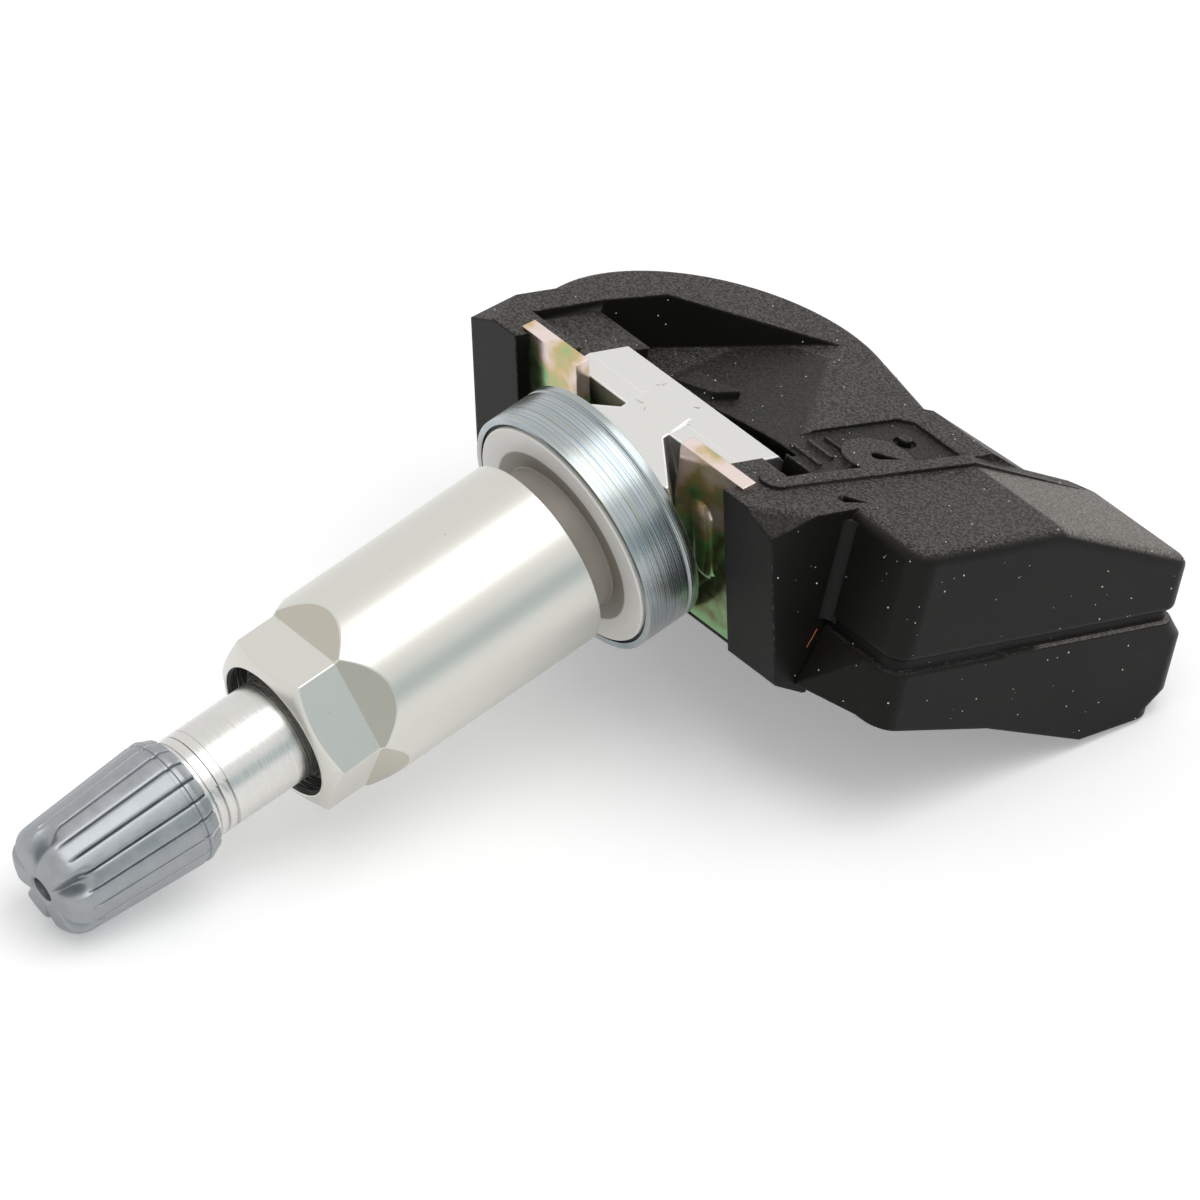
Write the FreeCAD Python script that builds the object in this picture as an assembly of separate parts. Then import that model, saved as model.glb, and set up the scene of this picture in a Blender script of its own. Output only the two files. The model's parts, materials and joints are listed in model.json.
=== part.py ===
import FreeCAD, Part
import math
import os

# A clamp-in tyre pressure sensor: a valve stem with a hammer head, tilting in a bracket plate
# on the nose of a moulded casing. Lengths are in millimetres, angles in degrees.
# Three local frames meet on the tilt axis, which runs along X through the hammer head:
#   stem frame: z runs out along the stem, y is up across it
#   nose frame: -y is square to the bracket plate, z runs up the plate
#   case frame: y runs back along the casing, z is square to its flat top
# The part lies as it rests on a table, on the rim of its cap and the rear edge of its casing.

# How the three frames lie when the part rests
stem_droop = 15.0
plate_lean = 5.8
case_pitch = 12.6

# Fits
running_gap = 0.05
loose_gap = 0.10
tilt_gap = 0.30
paint_gap = 0.02
overrun = 1.00

# Clamping ring, grommet and collar on the stem
ring_back = 6.25
ring_length = 4.45
ring_radius = 9.43
ring_wall = 0.48
ring_floor = 1.30
ring_groove = 0.14
ring_groove_at = 0.70
ring_groove_run = 0.10
ring_edge = 0.20
grommet_inset = 0.15
sleeve_inset = 0.30
shank_radius = 4.60
collar_proud = 0.15
collar_thickness = 1.10
collar_gap = 0.25
collar_edge = 0.15
spigot_radius = 5.55
spigot_length = 2.35

# Sleeve nut and its slip washer
nut_length = 23.40
sleeve_radius = 7.15
hex_across_flats = 12.00
hex_length = 4.00
facet_length = 2.50
nut_chamfer = 1.00
nut_rim = 0.18
nut_edge = 0.12
mouth_radius = 5.20
mouth_depth = 2.60
washer_outer = 6.30
washer_thickness = 0.65

# Valve stem
thread_radius = 4.95
thread_end_inside_mouth = 0.75
thread_end_chamfer = 0.90
barrel_radius = 3.87
cap_standoff = 8.08
barrel_in_cap = 8.50
groove_pitch = 0.80
groove_depth = 0.16
groove_width = 0.30
groove_count = 3
groove_lead = 0.48
tip_chamfer = 0.50
shoulder_inset = 1.33
shoulder_depth = 1.30
shoulder_land = 0.25
head_half_length = 8.40
head_radius = 4.45
head_front = 2.00
head_top = 4.95
head_crease = 0.50
head_crease_drop = 0.10
head_rear = 3.90
head_rear_bevel_low = 0.90
head_rear_bevel_high = 3.20
head_rear_bevel_back = 2.75
tongue_half_width = 2.35
tongue_bottom = 4.20
fan_start = 2.50
fan_end = 5.60
fan_half_width = 6.80
fan_low = 2.60
passage_radius = 1.20
passage_overrun = 0.40
port_radius = 1.10

# Valve core
core_thread_radius = 2.60
core_thread_length = 3.60
core_depth = 1.20
core_neck_radius = 1.70
core_neck_length = 6.00
core_taper = 0.50
key_notch_depth = 1.20
core_bore_radius = 0.80
core_gasket_radius = 2.30
core_gasket_length = 1.60
core_gasket_drop = 0.40
core_gasket_edge = 0.25
chamber_radius = 2.35
pin_radius = 0.50
pin_below_mouth = 0.40
pin_tail = 0.80
seat_radius = 1.55
seat_thickness = 1.40
spring_radius = 1.35
spring_wire = 0.20
spring_length = 5.50
spring_turns = 5
spring_steps = 12
pin_travel = 1.20

# Valve cap
cap_length = 12.20
cap_rim_radius = 4.42
cap_skirt_radius = 4.75
cap_tip_radius = 4.20
cap_band = 1.50
cap_band_width = 0.35
cap_band_inset = 0.08
cap_rim_run = 0.70
cap_nose_length = 1.60
cap_nose_step = 0.02
cap_nose_bend = 0.90
cap_nose_bend_inset = 0.45
cap_nose_inset = 1.40
cap_bore_clearance = 0.12
cap_gasket_thickness = 1.00
cap_gasket_hole = 1.10
cap_rib_count = 20
cap_groove_depth = 0.22
cap_groove_share = 0.22
cap_lobe_count = 6
cap_lobe_radius = 0.90
cap_lobe_inset = 0.30
cap_lobe_start = 0.25
cap_dimple_radius = 0.80
cap_dimple_depth = 0.60

# Bracket plate
plate_front = 4.13
plate_thickness = 1.13
plate_half_width = 12.30
plate_top = 6.29
plate_bottom = 8.40
slot_left = 6.20
slot_right = 5.50
slot_half = 4.60
slot_neck_height = 1.40
slot_neck_run = 1.00
slot_bottom = 5.40
slot_corner = 0.60
bead_offset = 7.70
bead_half_width = 1.25
bead_height = 0.45
bead_low = -4.90
bead_high = 3.30

# Nose of the casing
nose_front = 5.30
post_inner = 11.55
nose_half_width = 16.75
nose_bottom = 7.80
nose_side_bottom = 5.80
nose_bottom_bevel = 0.60
nose_heel_back = 2.90
nose_heel_low = 9.70
nose_heel_slope = 0.33
nose_side_top = 5.10
nose_top_bevel = 2.55

# Casing
case_top = 4.45
seam_level = -4.00
case_wall = 1.00
cavity_drop = 4.00
roof_wall = 1.10
seam_step = 0.45
seam_round = 0.50
cover_round = 0.30
disc_overhang = 1.70
disc_y = 6.35
disc_radius = 13.45
waist_x = 6.60
waist_y = 17.10
tail_left_x = 13.60
tail_left_y = 26.60
tail_corner_x = 15.20
box_left = 12.50
box_right = 24.20
box_front = 0.65
box_back = 28.40
box_corner = 1.70
edge_round = 1.00
facet_start = 14.35
facet_angle = 17.4
side_fall_angle = 29.0
tail_run = 1.10
tail_drop = 1.30
strap_width = 1.20
strap_height = 0.30
strap_root = 0.50
strap_slope_height = 0.05
strap_front = -2.60
strap_front_x = 12.40
strap_back_x = 13.70
strap_boss_radius = 1.15
strap_boss_lean = 0.50
panel_left = 6.20
panel_lean = 0.60
panel_front = 1.35
panel_back = 14.40
panel_corner = 0.90
panel_depth = 0.30
rib_width = 0.30
rib_length = 3.20
rib_pitch = 1.60
rib_shortening = 0.60
rib_inset = 0.60
rib_lead = 1.40
rib_below_top = 0.05
rib_count = 3
side_pocket_right = 11.50
side_pocket_front = -1.00
side_pocket_back = 1.20
side_pocket_depth = 1.60
boss_x = 11.15
boss_y = 7.75
boss_radius = 2.65
boss_height = 0.15
pin_mark_x = 9.45
pin_mark_y = 11.90
pin_mark_radius = 0.50
pin_mark_height = 0.05
pin_dimple_radius = 0.85
pin_dimple_depth = 0.30
vent_radius = 0.50
vent_lean = 1.20
vent_turn = 55.0
vent_depth = 1.00
corner_vent_x = 15.35
corner_vent_y = 1.00
corner_vent_depth = 0.90
recess_tip_angle = 82.0
recess_tip_inset = 2.65
recess_corner_angle = 163.1
recess_corner_inset = 4.36
recess_side = 2.45
recess_fall_x = 0.254
recess_fall_y = 0.225
recess_edge_x = 8.40
deck_front = -3.30
deck_back = 3.40
deck_depth = 0.95
wedge_front = 5.00
wedge_left = -7.10
wedge_heel = -3.30
wedge_tip_x = -1.70
wedge_tip_y = 6.20
wedge_back = 6.90
wedge_height = 0.75
pocket_sill = 2.45

# Lower cover
cell_radius = 8.00
cell_thickness = 3.20
cell_y = 9.80
cell_gap = 0.25
cell_level = -9.60
cover_floor = 0.95
box_floor_front = -9.15
box_floor_mid = -10.75
bulge_level = -6.30
flare_reach = 1.50
flare_right = 21.70
seam_height = 0.85
box_keel = -13.35
box_tail_low = -12.45
box_tail_high = -10.60
box_mid_y = 11.50
box_keel_y = 21.30
box_tail_y = 27.90
cover_back = 29.70
foot_x = -11.00
foot_y = 15.50
foot_length = 5.00
foot_radius = 1.20
pillar_bite = 0.50

# Electronics
board_thickness = 0.80
board_level = -4.95
board_gap = 0.40
board_front = 6.70
board_back = 15.60
board_left = -11.50
board_box_setback = 0.60
tab_thickness = 0.15
tab_width = 3.60
tab_offset = 3.00
tab_overlap = 4.00
tab_end_gap = 0.50
cell_rim = 0.25
cell_rim_drop = 0.60
cell_cap_drop = 0.35
cell_cap_inset = 1.20
chip_length = 9.00
chip_width = 7.00
chip_height = 2.60
chip_front = 1.00
chip_port_radius = 1.00
chip_port_depth = 1.20
chip_port_offset = 2.00
seal_tube_radius = 1.90
seal_head_height = 1.20
seal_link_drop = 0.90
seal_link_roof = 0.60
membrane_thickness = 0.20
ferrite_length = 9.00
ferrite_side = 2.00
ferrite_flange = 1.20
winding_radius = 1.90
winding_length = 6.00
coil_x = 18.80
coil_y = 20.50
crystal_length = 5.00
crystal_width = 3.20
crystal_height = 1.10
crystal_corner = 0.60
crystal_x = 18.60
crystal_y = 8.50
aerial_height = 3.00
aerial_thickness = 0.40
aerial_left = 15.20
aerial_inset = 0.30
aerial_back = 25.60
post_clearance = 0.15
post_setback = 0.50
capacitor_length = 1.60
capacitor_side = 0.80
capacitor_pitch = 2.40
capacitor_rows = 3
capacitor_columns = 2
capacitor_column_pitch = 3.60
capacitor_x = 1.00
capacitor_y = 9.00
post_radius = 1.10

X = FreeCAD.Vector(1, 0, 0)
Z = FreeCAD.Vector(0, 0, 1)
far = 80.0

# Stations along the stem, out from the tilt axis
ring_front = ring_back + ring_length
collar_face = ring_front + collar_proud
collar_radius = ring_radius - ring_wall - collar_gap
shoulder_radius = ring_radius - shoulder_inset
collar_back = collar_face - collar_thickness
nut_end = collar_face + spigot_length
nut_mouth = nut_end + nut_length
cap_rim = nut_mouth + cap_standoff
stem_tip = cap_rim + barrel_in_cap
thread_end = nut_mouth - thread_end_inside_mouth
core_top = stem_tip - core_depth
core_shoulder = core_top - core_thread_length
core_foot = core_shoulder - core_neck_length
chamber_end = core_foot - seat_thickness - spring_length

# Levels and edges of the casing, worked out from the driving sizes
disc_x = disc_radius - disc_overhang - nose_half_width
recess_left_x = recess_side - nose_half_width
facet_slope = math.tan(math.radians(facet_angle))
cell_top = cell_level + cell_thickness
floor_level = cell_level - tab_thickness
round_bottom = floor_level - cover_floor
chip_top = board_level + board_thickness + chip_height
roof_level = case_top - roof_wall
pocket_radius = head_radius + tilt_gap
seat_y = math.cos(math.radians(stem_droop)) * collar_face
seat_z = math.sin(math.radians(stem_droop)) * collar_face


def inside_disc(angle, inset):
    """A point that far inside the edge of the round end, as seen from above."""
    reach = disc_radius - inset
    return disc_x + reach * math.cos(math.radians(angle)), disc_y + reach * math.sin(math.radians(angle))


recess_tip_x, recess_tip_y = inside_disc(recess_tip_angle, recess_tip_inset)
recess_corner_x, recess_corner_y = inside_disc(recess_corner_angle, recess_corner_inset)


def turn(angle):
    """A frame turned about X and centred on the tilt axis."""
    place = FreeCAD.Vector(0, seat_y, seat_z)
    return FreeCAD.Placement(place, FreeCAD.Rotation(X, angle))


stem_frame = turn(90.0 + stem_droop)
nose_frame = turn(plate_lean)
case_frame = turn(-case_pitch)
nose_in_case = FreeCAD.Placement(
    FreeCAD.Vector(0, 0, 0), FreeCAD.Rotation(X, plate_lean + case_pitch)
)


def placed(shape, frame):
    moved = shape.copy()
    moved.Placement = frame.multiply(shape.Placement)
    return moved


def vectors(points):
    return [FreeCAD.Vector(*point) for point in points]


def face_of(points):
    corners = vectors(points)
    return Part.Face(Part.makePolygon(corners + [corners[0]]))


def block(x0, x1, y0, y1, z0, z1):
    return Part.makeBox(x1 - x0, y1 - y0, z1 - z0, FreeCAD.Vector(x0, y0, z0))


def rod(radius, z0, z1, x=0.0, y=0.0):
    return Part.makeCylinder(radius, z1 - z0, FreeCAD.Vector(x, y, z0))


def turned(outline):
    """A solid of revolution about z from (radius, z) points that run round its half section."""
    section = face_of([(r, 0, z) for r, z in outline])
    return section.revolve(FreeCAD.Vector(0, 0, 0), Z, 360)


def slab(outline, z0, z1):
    """A prism along z over (x, y) points."""
    return face_of([(x, y, z0) for x, y in outline]).extrude(FreeCAD.Vector(0, 0, z1 - z0))


def side_prism(outline, x0, x1):
    """A prism along x over (y, z) points."""
    return face_of([(x0, y, z) for y, z in outline]).extrude(FreeCAD.Vector(x1 - x0, 0, 0))


def rounded_block(x0, x1, y0, y1, radius, z0, z1):
    """A block with its four upright edges rounded."""
    solid = block(x0, x1, y0, y1, z0, z1)
    upright = [edge for edge in solid.Edges if abs(edge.Vertexes[0].Z - edge.Vertexes[-1].Z) > 1e-6]
    return solid.makeFillet(radius, upright)


def joined(first, *others):
    return first.fuse(list(others)).removeSplitter()


def hexagon(across_flats, z):
    corner = across_flats / math.sqrt(3.0)
    angles = [math.radians(60.0 * k) for k in range(6)]
    points = [(corner * math.cos(a), corner * math.sin(a), z) for a in angles]
    corners = vectors(points)
    return Part.makePolygon(corners + [corners[0]])


# Pieces on the stem, drawn in the stem frame

def hammer_head():
    """The cross bar: round below, flat in front, behind and on top, with a crease along its top."""
    low_front = FreeCAD.Vector(0, -math.sqrt(head_radius ** 2 - head_front ** 2), head_front)
    low_rear = FreeCAD.Vector(0, -math.sqrt(head_radius ** 2 - head_rear ** 2), -head_rear)
    corners = vectors([
        (0, head_rear_bevel_low, -head_rear), (0, head_rear_bevel_high, -head_rear_bevel_back),
        (0, head_top - head_crease_drop, head_crease), (0, head_top, head_front),
    ])
    corners = [low_rear] + corners + [low_front]
    sides = [Part.makeLine(a, b) for a, b in zip(corners, corners[1:])]
    under = Part.Arc(low_front, FreeCAD.Vector(0, -head_radius, 0), low_rear).toShape()
    section = Part.Face(Part.Wire(sides + [under]))
    section.translate(FreeCAD.Vector(-head_half_length, 0, 0))
    return section.extrude(FreeCAD.Vector(2 * head_half_length, 0, 0))


def tongue():
    """The flat-sided neck between the head and the shoulder, whose top fans out to the shoulder."""
    neck = block(-tongue_half_width, tongue_half_width, -tongue_bottom, head_top, 0, fan_end)
    plan = [(-tongue_half_width, fan_start), (tongue_half_width, fan_start), (fan_half_width, fan_end),
            (-fan_half_width, fan_end)]
    fan = face_of([(x, fan_low, z) for x, z in plan]).extrude(FreeCAD.Vector(0, head_top - fan_low, 0))
    return neck.fuse(fan).common(rod(shoulder_radius, 0, ring_back))


def valve_stem():
    shoulder = ring_back - shoulder_depth
    outline = [
        (0, 0), (tongue_half_width, 0), (tongue_half_width, shoulder),
        (shoulder_radius, ring_back - shoulder_land), (shoulder_radius, ring_back),
        (shank_radius, ring_back), (shank_radius, nut_end),
        (thread_radius, nut_end + thread_radius - shank_radius),
        (thread_radius, thread_end - thread_end_chamfer), (barrel_radius, thread_end),
        (barrel_radius, stem_tip - tip_chamfer), (barrel_radius - tip_chamfer, stem_tip), (0, stem_tip),
    ]
    stem = joined(turned(outline), hammer_head(), tongue())
    passage_end = shoulder - port_radius - passage_overrun
    bore = turned([
        (0, passage_end), (passage_radius, passage_end),
        (passage_radius, chamber_end), (chamber_radius, chamber_end),
        (chamber_radius, core_shoulder - running_gap), (core_thread_radius + running_gap, core_shoulder),
        (core_thread_radius + running_gap, stem_tip + overrun), (0, stem_tip + overrun),
    ])
    port = Part.makeCylinder(
        port_radius, far, FreeCAD.Vector(0, 0, shoulder), FreeCAD.Vector(0, -1, 0))
    tools = [bore, port]
    for k in range(groove_count):
        z = cap_rim - groove_lead - groove_pitch * k
        ring = [(barrel_radius - groove_depth, z), (barrel_radius + overrun, z - groove_width),
                (barrel_radius + overrun, z + groove_width)]
        tools.append(turned(ring))
    return stem.cut(tools)


def clamp_ring():
    """A turned steel cup whose floor bears on the stem's shoulder."""
    bore = shank_radius + running_gap
    inner = ring_radius - ring_wall
    groove = ring_back + ring_groove_at
    edge = ring_edge
    outline = [
        (bore, ring_back), (ring_radius - edge, ring_back), (ring_radius, ring_back + edge),
        (ring_radius, groove), (ring_radius - ring_groove, groove + ring_groove_run),
        (ring_radius, groove + 2 * ring_groove_run), (ring_radius, ring_front - edge),
        (ring_radius - edge, ring_front), (inner + edge / 2, ring_front), (inner, ring_front - edge),
        (inner, ring_back + ring_floor), (bore, ring_back + ring_floor),
    ]
    return turned(outline)


def rubber_grommet():
    """The rubber that seals the rim hole: a pad in the ring and a sleeve under the collar."""
    bore = shank_radius + paint_gap
    outer = ring_radius - ring_wall - paint_gap
    sleeve = thread_radius + running_gap - paint_gap
    floor = ring_back + ring_floor
    outline = [
        (bore, floor), (outer, floor), (outer, ring_front - grommet_inset),
        (collar_radius + paint_gap, ring_front - grommet_inset), (collar_radius + paint_gap, collar_back),
        (sleeve, collar_back), (sleeve, nut_end - sleeve_inset), (bore, nut_end - sleeve_inset),
    ]
    return turned(outline)


def seal_collar():
    """The flanged collar whose spigot centres the stem in the wheel's valve hole."""
    bore = thread_radius + running_gap
    edge = collar_edge
    outline = [
        (bore, collar_back), (collar_radius - edge, collar_back), (collar_radius, collar_back + edge),
        (collar_radius, collar_face - edge), (collar_radius - edge, collar_face),
        (spigot_radius, collar_face), (spigot_radius, nut_end - edge), (spigot_radius - edge, nut_end),
        (bore, nut_end),
    ]
    return turned(outline)


def nut_slip_washer():
    """The washer set into the nut's end, which stays still while the nut turns on it."""
    return rod(washer_outer, nut_end, nut_end + washer_thickness).cut(
        rod(thread_radius + loose_gap, nut_end - overrun, nut_end + washer_thickness + overrun))


def sleeve_nut():
    hex_start = nut_mouth - hex_length
    facet_base = hex_start - 2 * facet_length
    spread = (sleeve_radius - hex_across_flats / 2) / facet_length
    wide = hex_across_flats + 4 * facet_length * spread
    taper = Part.makeLoft([hexagon(wide, facet_base), hexagon(hex_across_flats, hex_start)], True, True)
    prism = Part.makeLoft(
        [hexagon(hex_across_flats, hex_start), hexagon(hex_across_flats, nut_mouth)], True, True)
    guard = taper.fuse([prism, rod(wide, nut_end, facet_base)])
    rim = mouth_radius + nut_rim
    blank = turned([
        (0, nut_end), (sleeve_radius - nut_edge, nut_end), (sleeve_radius, nut_end + nut_edge),
        (sleeve_radius, nut_mouth - nut_chamfer), (rim, nut_mouth), (0, nut_mouth),
    ])
    bore = turned([
        (0, nut_end - overrun), (washer_outer + running_gap, nut_end - overrun),
        (washer_outer + running_gap, nut_end + washer_thickness + paint_gap),
        (thread_radius + running_gap, nut_end + washer_thickness + paint_gap),
        (thread_radius + running_gap, nut_mouth - mouth_depth), (mouth_radius, nut_mouth - mouth_depth),
        (mouth_radius, nut_mouth + overrun), (0, nut_mouth + overrun),
    ])
    return blank.common(guard).cut(bore).removeSplitter()


def core_body():
    """The screwed plug of the valve core, with a notch across its top for the core key."""
    plug = turned([
        (core_bore_radius, core_top), (core_thread_radius, core_top),
        (core_thread_radius, core_shoulder + core_taper), (core_neck_radius, core_shoulder),
        (core_neck_radius, core_foot), (core_bore_radius, core_foot),
    ])
    notch = block(-core_thread_radius, core_thread_radius, -pin_radius, pin_radius,
                  core_top - key_notch_depth, core_top + overrun)
    return plug.cut(notch)


def core_gasket():
    """The ring that seals the core in its chamber."""
    low = core_shoulder - core_gasket_drop - core_gasket_length
    edge = core_gasket_edge
    return turned([
        (core_neck_radius + paint_gap, low), (core_gasket_radius - edge, low),
        (core_gasket_radius, low + edge), (core_gasket_radius, low + core_gasket_length),
        (core_neck_radius + paint_gap, low + core_gasket_length),
    ])


def core_pin():
    return rod(pin_radius, core_foot - seat_thickness - pin_tail, stem_tip - pin_below_mouth)


def core_seat():
    """The cup on the pin that closes the core's inner end."""
    top = core_foot - paint_gap
    return rod(seat_radius, top - seat_thickness, top).cut(
        rod(pin_radius + paint_gap, top - seat_thickness - overrun, top + overrun))


def core_spring():
    """The coil that holds the cup shut; it shortens when the pin is pressed."""
    low = chamber_end + spring_wire + paint_gap
    high = core_foot - seat_thickness - paint_gap - spring_wire - paint_gap
    steps = spring_turns * spring_steps
    sections = []
    for k in range(steps + 1):
        angle = 2 * math.pi * k / spring_steps
        level = low + (high - low) * k / steps
        points = []
        for j in range(6):
            corner = math.radians(60 * j)
            r = spring_radius + spring_wire * math.cos(corner)
            points.append((r * math.cos(angle), r * math.sin(angle), level + spring_wire * math.sin(corner)))
        corners = vectors(points)
        sections.append(Part.makePolygon(corners + [corners[0]]))
    return Part.makeLoft(sections, True, True)


def cap_gasket():
    """The rubber disc at the bottom of the cap, which seals on the stem's mouth."""
    radius = barrel_radius + cap_bore_clearance - paint_gap
    low = stem_tip + paint_gap
    return rod(radius, low, low + cap_gasket_thickness).cut(
        rod(cap_gasket_hole, low - overrun, low + cap_gasket_thickness + overrun))


def rib_wire(radius, z):
    """A closed outline of flat ribs with a narrow groove between each two."""
    points = []
    for k in range(cap_rib_count):
        start = 2 * math.pi * k / cap_rib_count
        step = 2 * math.pi / cap_rib_count
        groove = step * cap_groove_share
        for angle, r in ((start, radius), (start + step - groove, radius),
                         (start + step - groove / 2, radius - cap_groove_depth)):
            points.append((r * math.cos(angle), r * math.sin(angle), z))
    corners = vectors(points)
    return Part.makePolygon(corners + [corners[0]])


def valve_cap():
    tip = cap_rim + cap_length
    band_top = cap_rim + cap_band
    rim_end = cap_rim + cap_rim_run
    nose = tip - cap_nose_length
    bore = barrel_radius + cap_bore_clearance
    bore_end = stem_tip + cap_gasket_thickness + 2 * paint_gap
    rim = Part.makeLoft([rib_wire(cap_rim_radius, cap_rim), rib_wire(cap_skirt_radius, rim_end)], True, True)
    skirt = Part.makeLoft([rib_wire(cap_skirt_radius, rim_end), rib_wire(cap_tip_radius, nose)], True, True)
    band = rod(cap_skirt_radius - cap_band_inset, band_top - cap_band_width, band_top)
    dome = turned([
        (0, nose), (cap_tip_radius - cap_nose_step, nose),
        (cap_tip_radius - cap_nose_bend_inset, nose + cap_nose_bend), (cap_tip_radius - cap_nose_inset, tip),
        (0, tip)])
    for k in range(cap_lobe_count):
        angle = 2 * math.pi * (k + 0.5) / cap_lobe_count
        reach = cap_tip_radius + cap_lobe_inset
        lobe = rod(cap_lobe_radius, nose + cap_lobe_start, tip + overrun,
                   reach * math.cos(angle), reach * math.sin(angle))
        dome = dome.cut(lobe)
    hollow = rod(bore, cap_rim - overrun, bore_end)
    dimple = rod(cap_dimple_radius, tip - cap_dimple_depth, tip + overrun)
    return rim.fuse([skirt, band, dome]).cut([hollow, dimple]).removeSplitter()


# The bracket plate and the casing's nose, drawn in the nose frame

def bead(side, radius_cut):
    """One upright pressed bead, as the front of a long round-ended bar."""
    radius = (bead_half_width ** 2 + bead_height ** 2) / (2 * bead_height)
    centre_y = -plate_front + radius - bead_height
    size = radius - radius_cut
    low = bead_low + radius
    high = bead_high - radius
    bar = rod(size, low, high, side * bead_offset, centre_y)
    ends = [Part.makeSphere(size, FreeCAD.Vector(side * bead_offset, centre_y, z)) for z in (low, high)]
    return bar.fuse(ends)


def bracket_plate():
    back = -plate_front + plate_thickness
    sheet = block(-plate_half_width, plate_half_width, -plate_front, back, -plate_bottom, plate_top)
    outline = [
        (-slot_left, far), (-slot_left, slot_neck_height + slot_neck_run), (-slot_half, slot_neck_height),
        (-slot_half, -slot_bottom + slot_corner), (-slot_half + slot_corner, -slot_bottom),
        (slot_half - slot_corner, -slot_bottom), (slot_half, -slot_bottom + slot_corner),
        (slot_half, slot_neck_height), (slot_right, plate_top), (slot_right, far),
    ]
    slot = face_of([(x, -plate_front - overrun, z) for x, z in outline]).extrude(
        FreeCAD.Vector(0, plate_thickness + 2 * overrun, 0))
    front_side = block(-far, far, -far, back, -far, far)
    raised = [bead(side, 0.0).common(front_side) for side in (-1, 1)]
    hollows = [bead(side, plate_thickness) for side in (-1, 1)]
    return sheet.fuse(raised).cut([slot] + hollows).removeSplitter()


def nose_outline():
    """The nose's section across X, from its front face back to the casing."""
    return [
        (-nose_front, far), (-nose_front, -nose_bottom), (-nose_heel_back, -nose_heel_low),
        (far, -nose_heel_low - (far + nose_heel_back) * nose_heel_slope), (far, far),
    ]


def plate_room():
    """The space in front of the plate and the groove that its edges sit in."""
    recess = block(-post_inner, post_inner, -far, -plate_front, -far, far)
    groove = block(-plate_half_width - paint_gap, plate_half_width + paint_gap,
                   -plate_front - paint_gap, -plate_front + plate_thickness + paint_gap,
                   -plate_bottom - paint_gap, far)
    return [placed(recess, nose_in_case), placed(groove, nose_in_case)]


def nose_block():
    """The solid nose that carries the plate between its two posts, in the case frame."""
    solid = side_prism(nose_outline(), -nose_half_width, nose_half_width)
    bevels = []
    for side in (-1, 1):
        edge = side * nose_half_width
        inner = side * (nose_half_width - nose_bottom_bevel)
        low = [(edge, -nose_side_bottom), (inner, -far), (edge + side, -far), (edge + side, -nose_side_bottom)]
        top_in = side * (nose_half_width - nose_top_bevel)
        high = [(edge, nose_side_top), (top_in, plate_top), (top_in, far), (edge + side, far),
                (edge + side, nose_side_top)]
        for corner in (low, high):
            wedge = face_of([(x, -nose_front - overrun, z) for x, z in corner])
            bevels.append(wedge.extrude(FreeCAD.Vector(0, far, 0)))
    return placed(solid.cut(bevels), nose_in_case)


# The casing, drawn in the case frame

def shifted_side(start, end, grow):
    """A straight side of the plan moved outwards, as a point and a direction."""
    run_x, run_y = end[0] - start[0], end[1] - start[1]
    length = math.hypot(run_x, run_y)
    return start[0] - grow * run_y / length, start[1] + grow * run_x / length, run_x, run_y


def crossing(one, two):
    """Where two sides meet."""
    x1, y1, dx1, dy1 = one
    x2, y2, dx2, dy2 = two
    along = ((x2 - x1) * dy2 - (y2 - y1) * dx2) / (dx1 * dy2 - dy1 * dx2)
    return FreeCAD.Vector(x1 + along * dx1, y1 + along * dy1, 0)


def plan_wire(grow):
    """The casing seen from above, a round end drawn out into a box, grown all round."""
    start_x = -nose_half_width
    start_y = disc_y - math.sqrt(disc_radius ** 2 - (start_x - disc_x) ** 2)
    reach = math.hypot(waist_x - disc_x, waist_y - disc_y)
    touch = math.atan2(waist_y - disc_y, waist_x - disc_x) + math.acos(disc_radius / reach)
    first = math.atan2(start_y - disc_y, start_x - disc_x) + 2 * math.pi
    radius = disc_radius + grow
    on_disc = [FreeCAD.Vector(disc_x + radius * math.cos(a), disc_y + radius * math.sin(a), 0)
               for a in (first, (first + touch) / 2, touch)]
    sides = [
        (disc_x + disc_radius * math.cos(touch), disc_y + disc_radius * math.sin(touch)),
        (waist_x, waist_y), (tail_left_x, tail_left_y), (tail_corner_x, box_back),
        (box_right, box_back), (box_right, box_front), (disc_x, box_front)]
    moved = [shifted_side(a, b, grow) for a, b in zip(sides, sides[1:])]
    corners = [crossing(a, b) for a, b in zip(moved, moved[1:])]
    front_end = FreeCAD.Vector(disc_x, box_front - grow, 0)
    corners = [on_disc[2]] + corners + [front_end, on_disc[0]]
    lines = [Part.makeLine(a, b) for a, b in zip(corners, corners[1:])]
    return Part.Wire([Part.Arc(*on_disc).toShape()] + lines)


def upright_near(solid, x, y):
    upright = [edge for edge in solid.Edges
               if len(edge.Vertexes) == 2 and abs(edge.Vertexes[0].Z - edge.Vertexes[1].Z) > 0.1]
    return min(upright, key=lambda edge: math.hypot(edge.Vertexes[0].X - x, edge.Vertexes[0].Y - y))


def column(grow, z0, z1):
    """The casing's plan, grown all round, as a solid between two levels."""
    solid = Part.Face(plan_wire(grow)).extrude(FreeCAD.Vector(0, 0, z1 - z0))
    solid.translate(FreeCAD.Vector(0, 0, z0))
    corners = [(box_right, box_front), (box_right, box_back)]
    edges = [upright_near(solid, x, y) for x, y in corners]
    return solid.makeFillet(box_corner + grow, edges)


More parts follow.
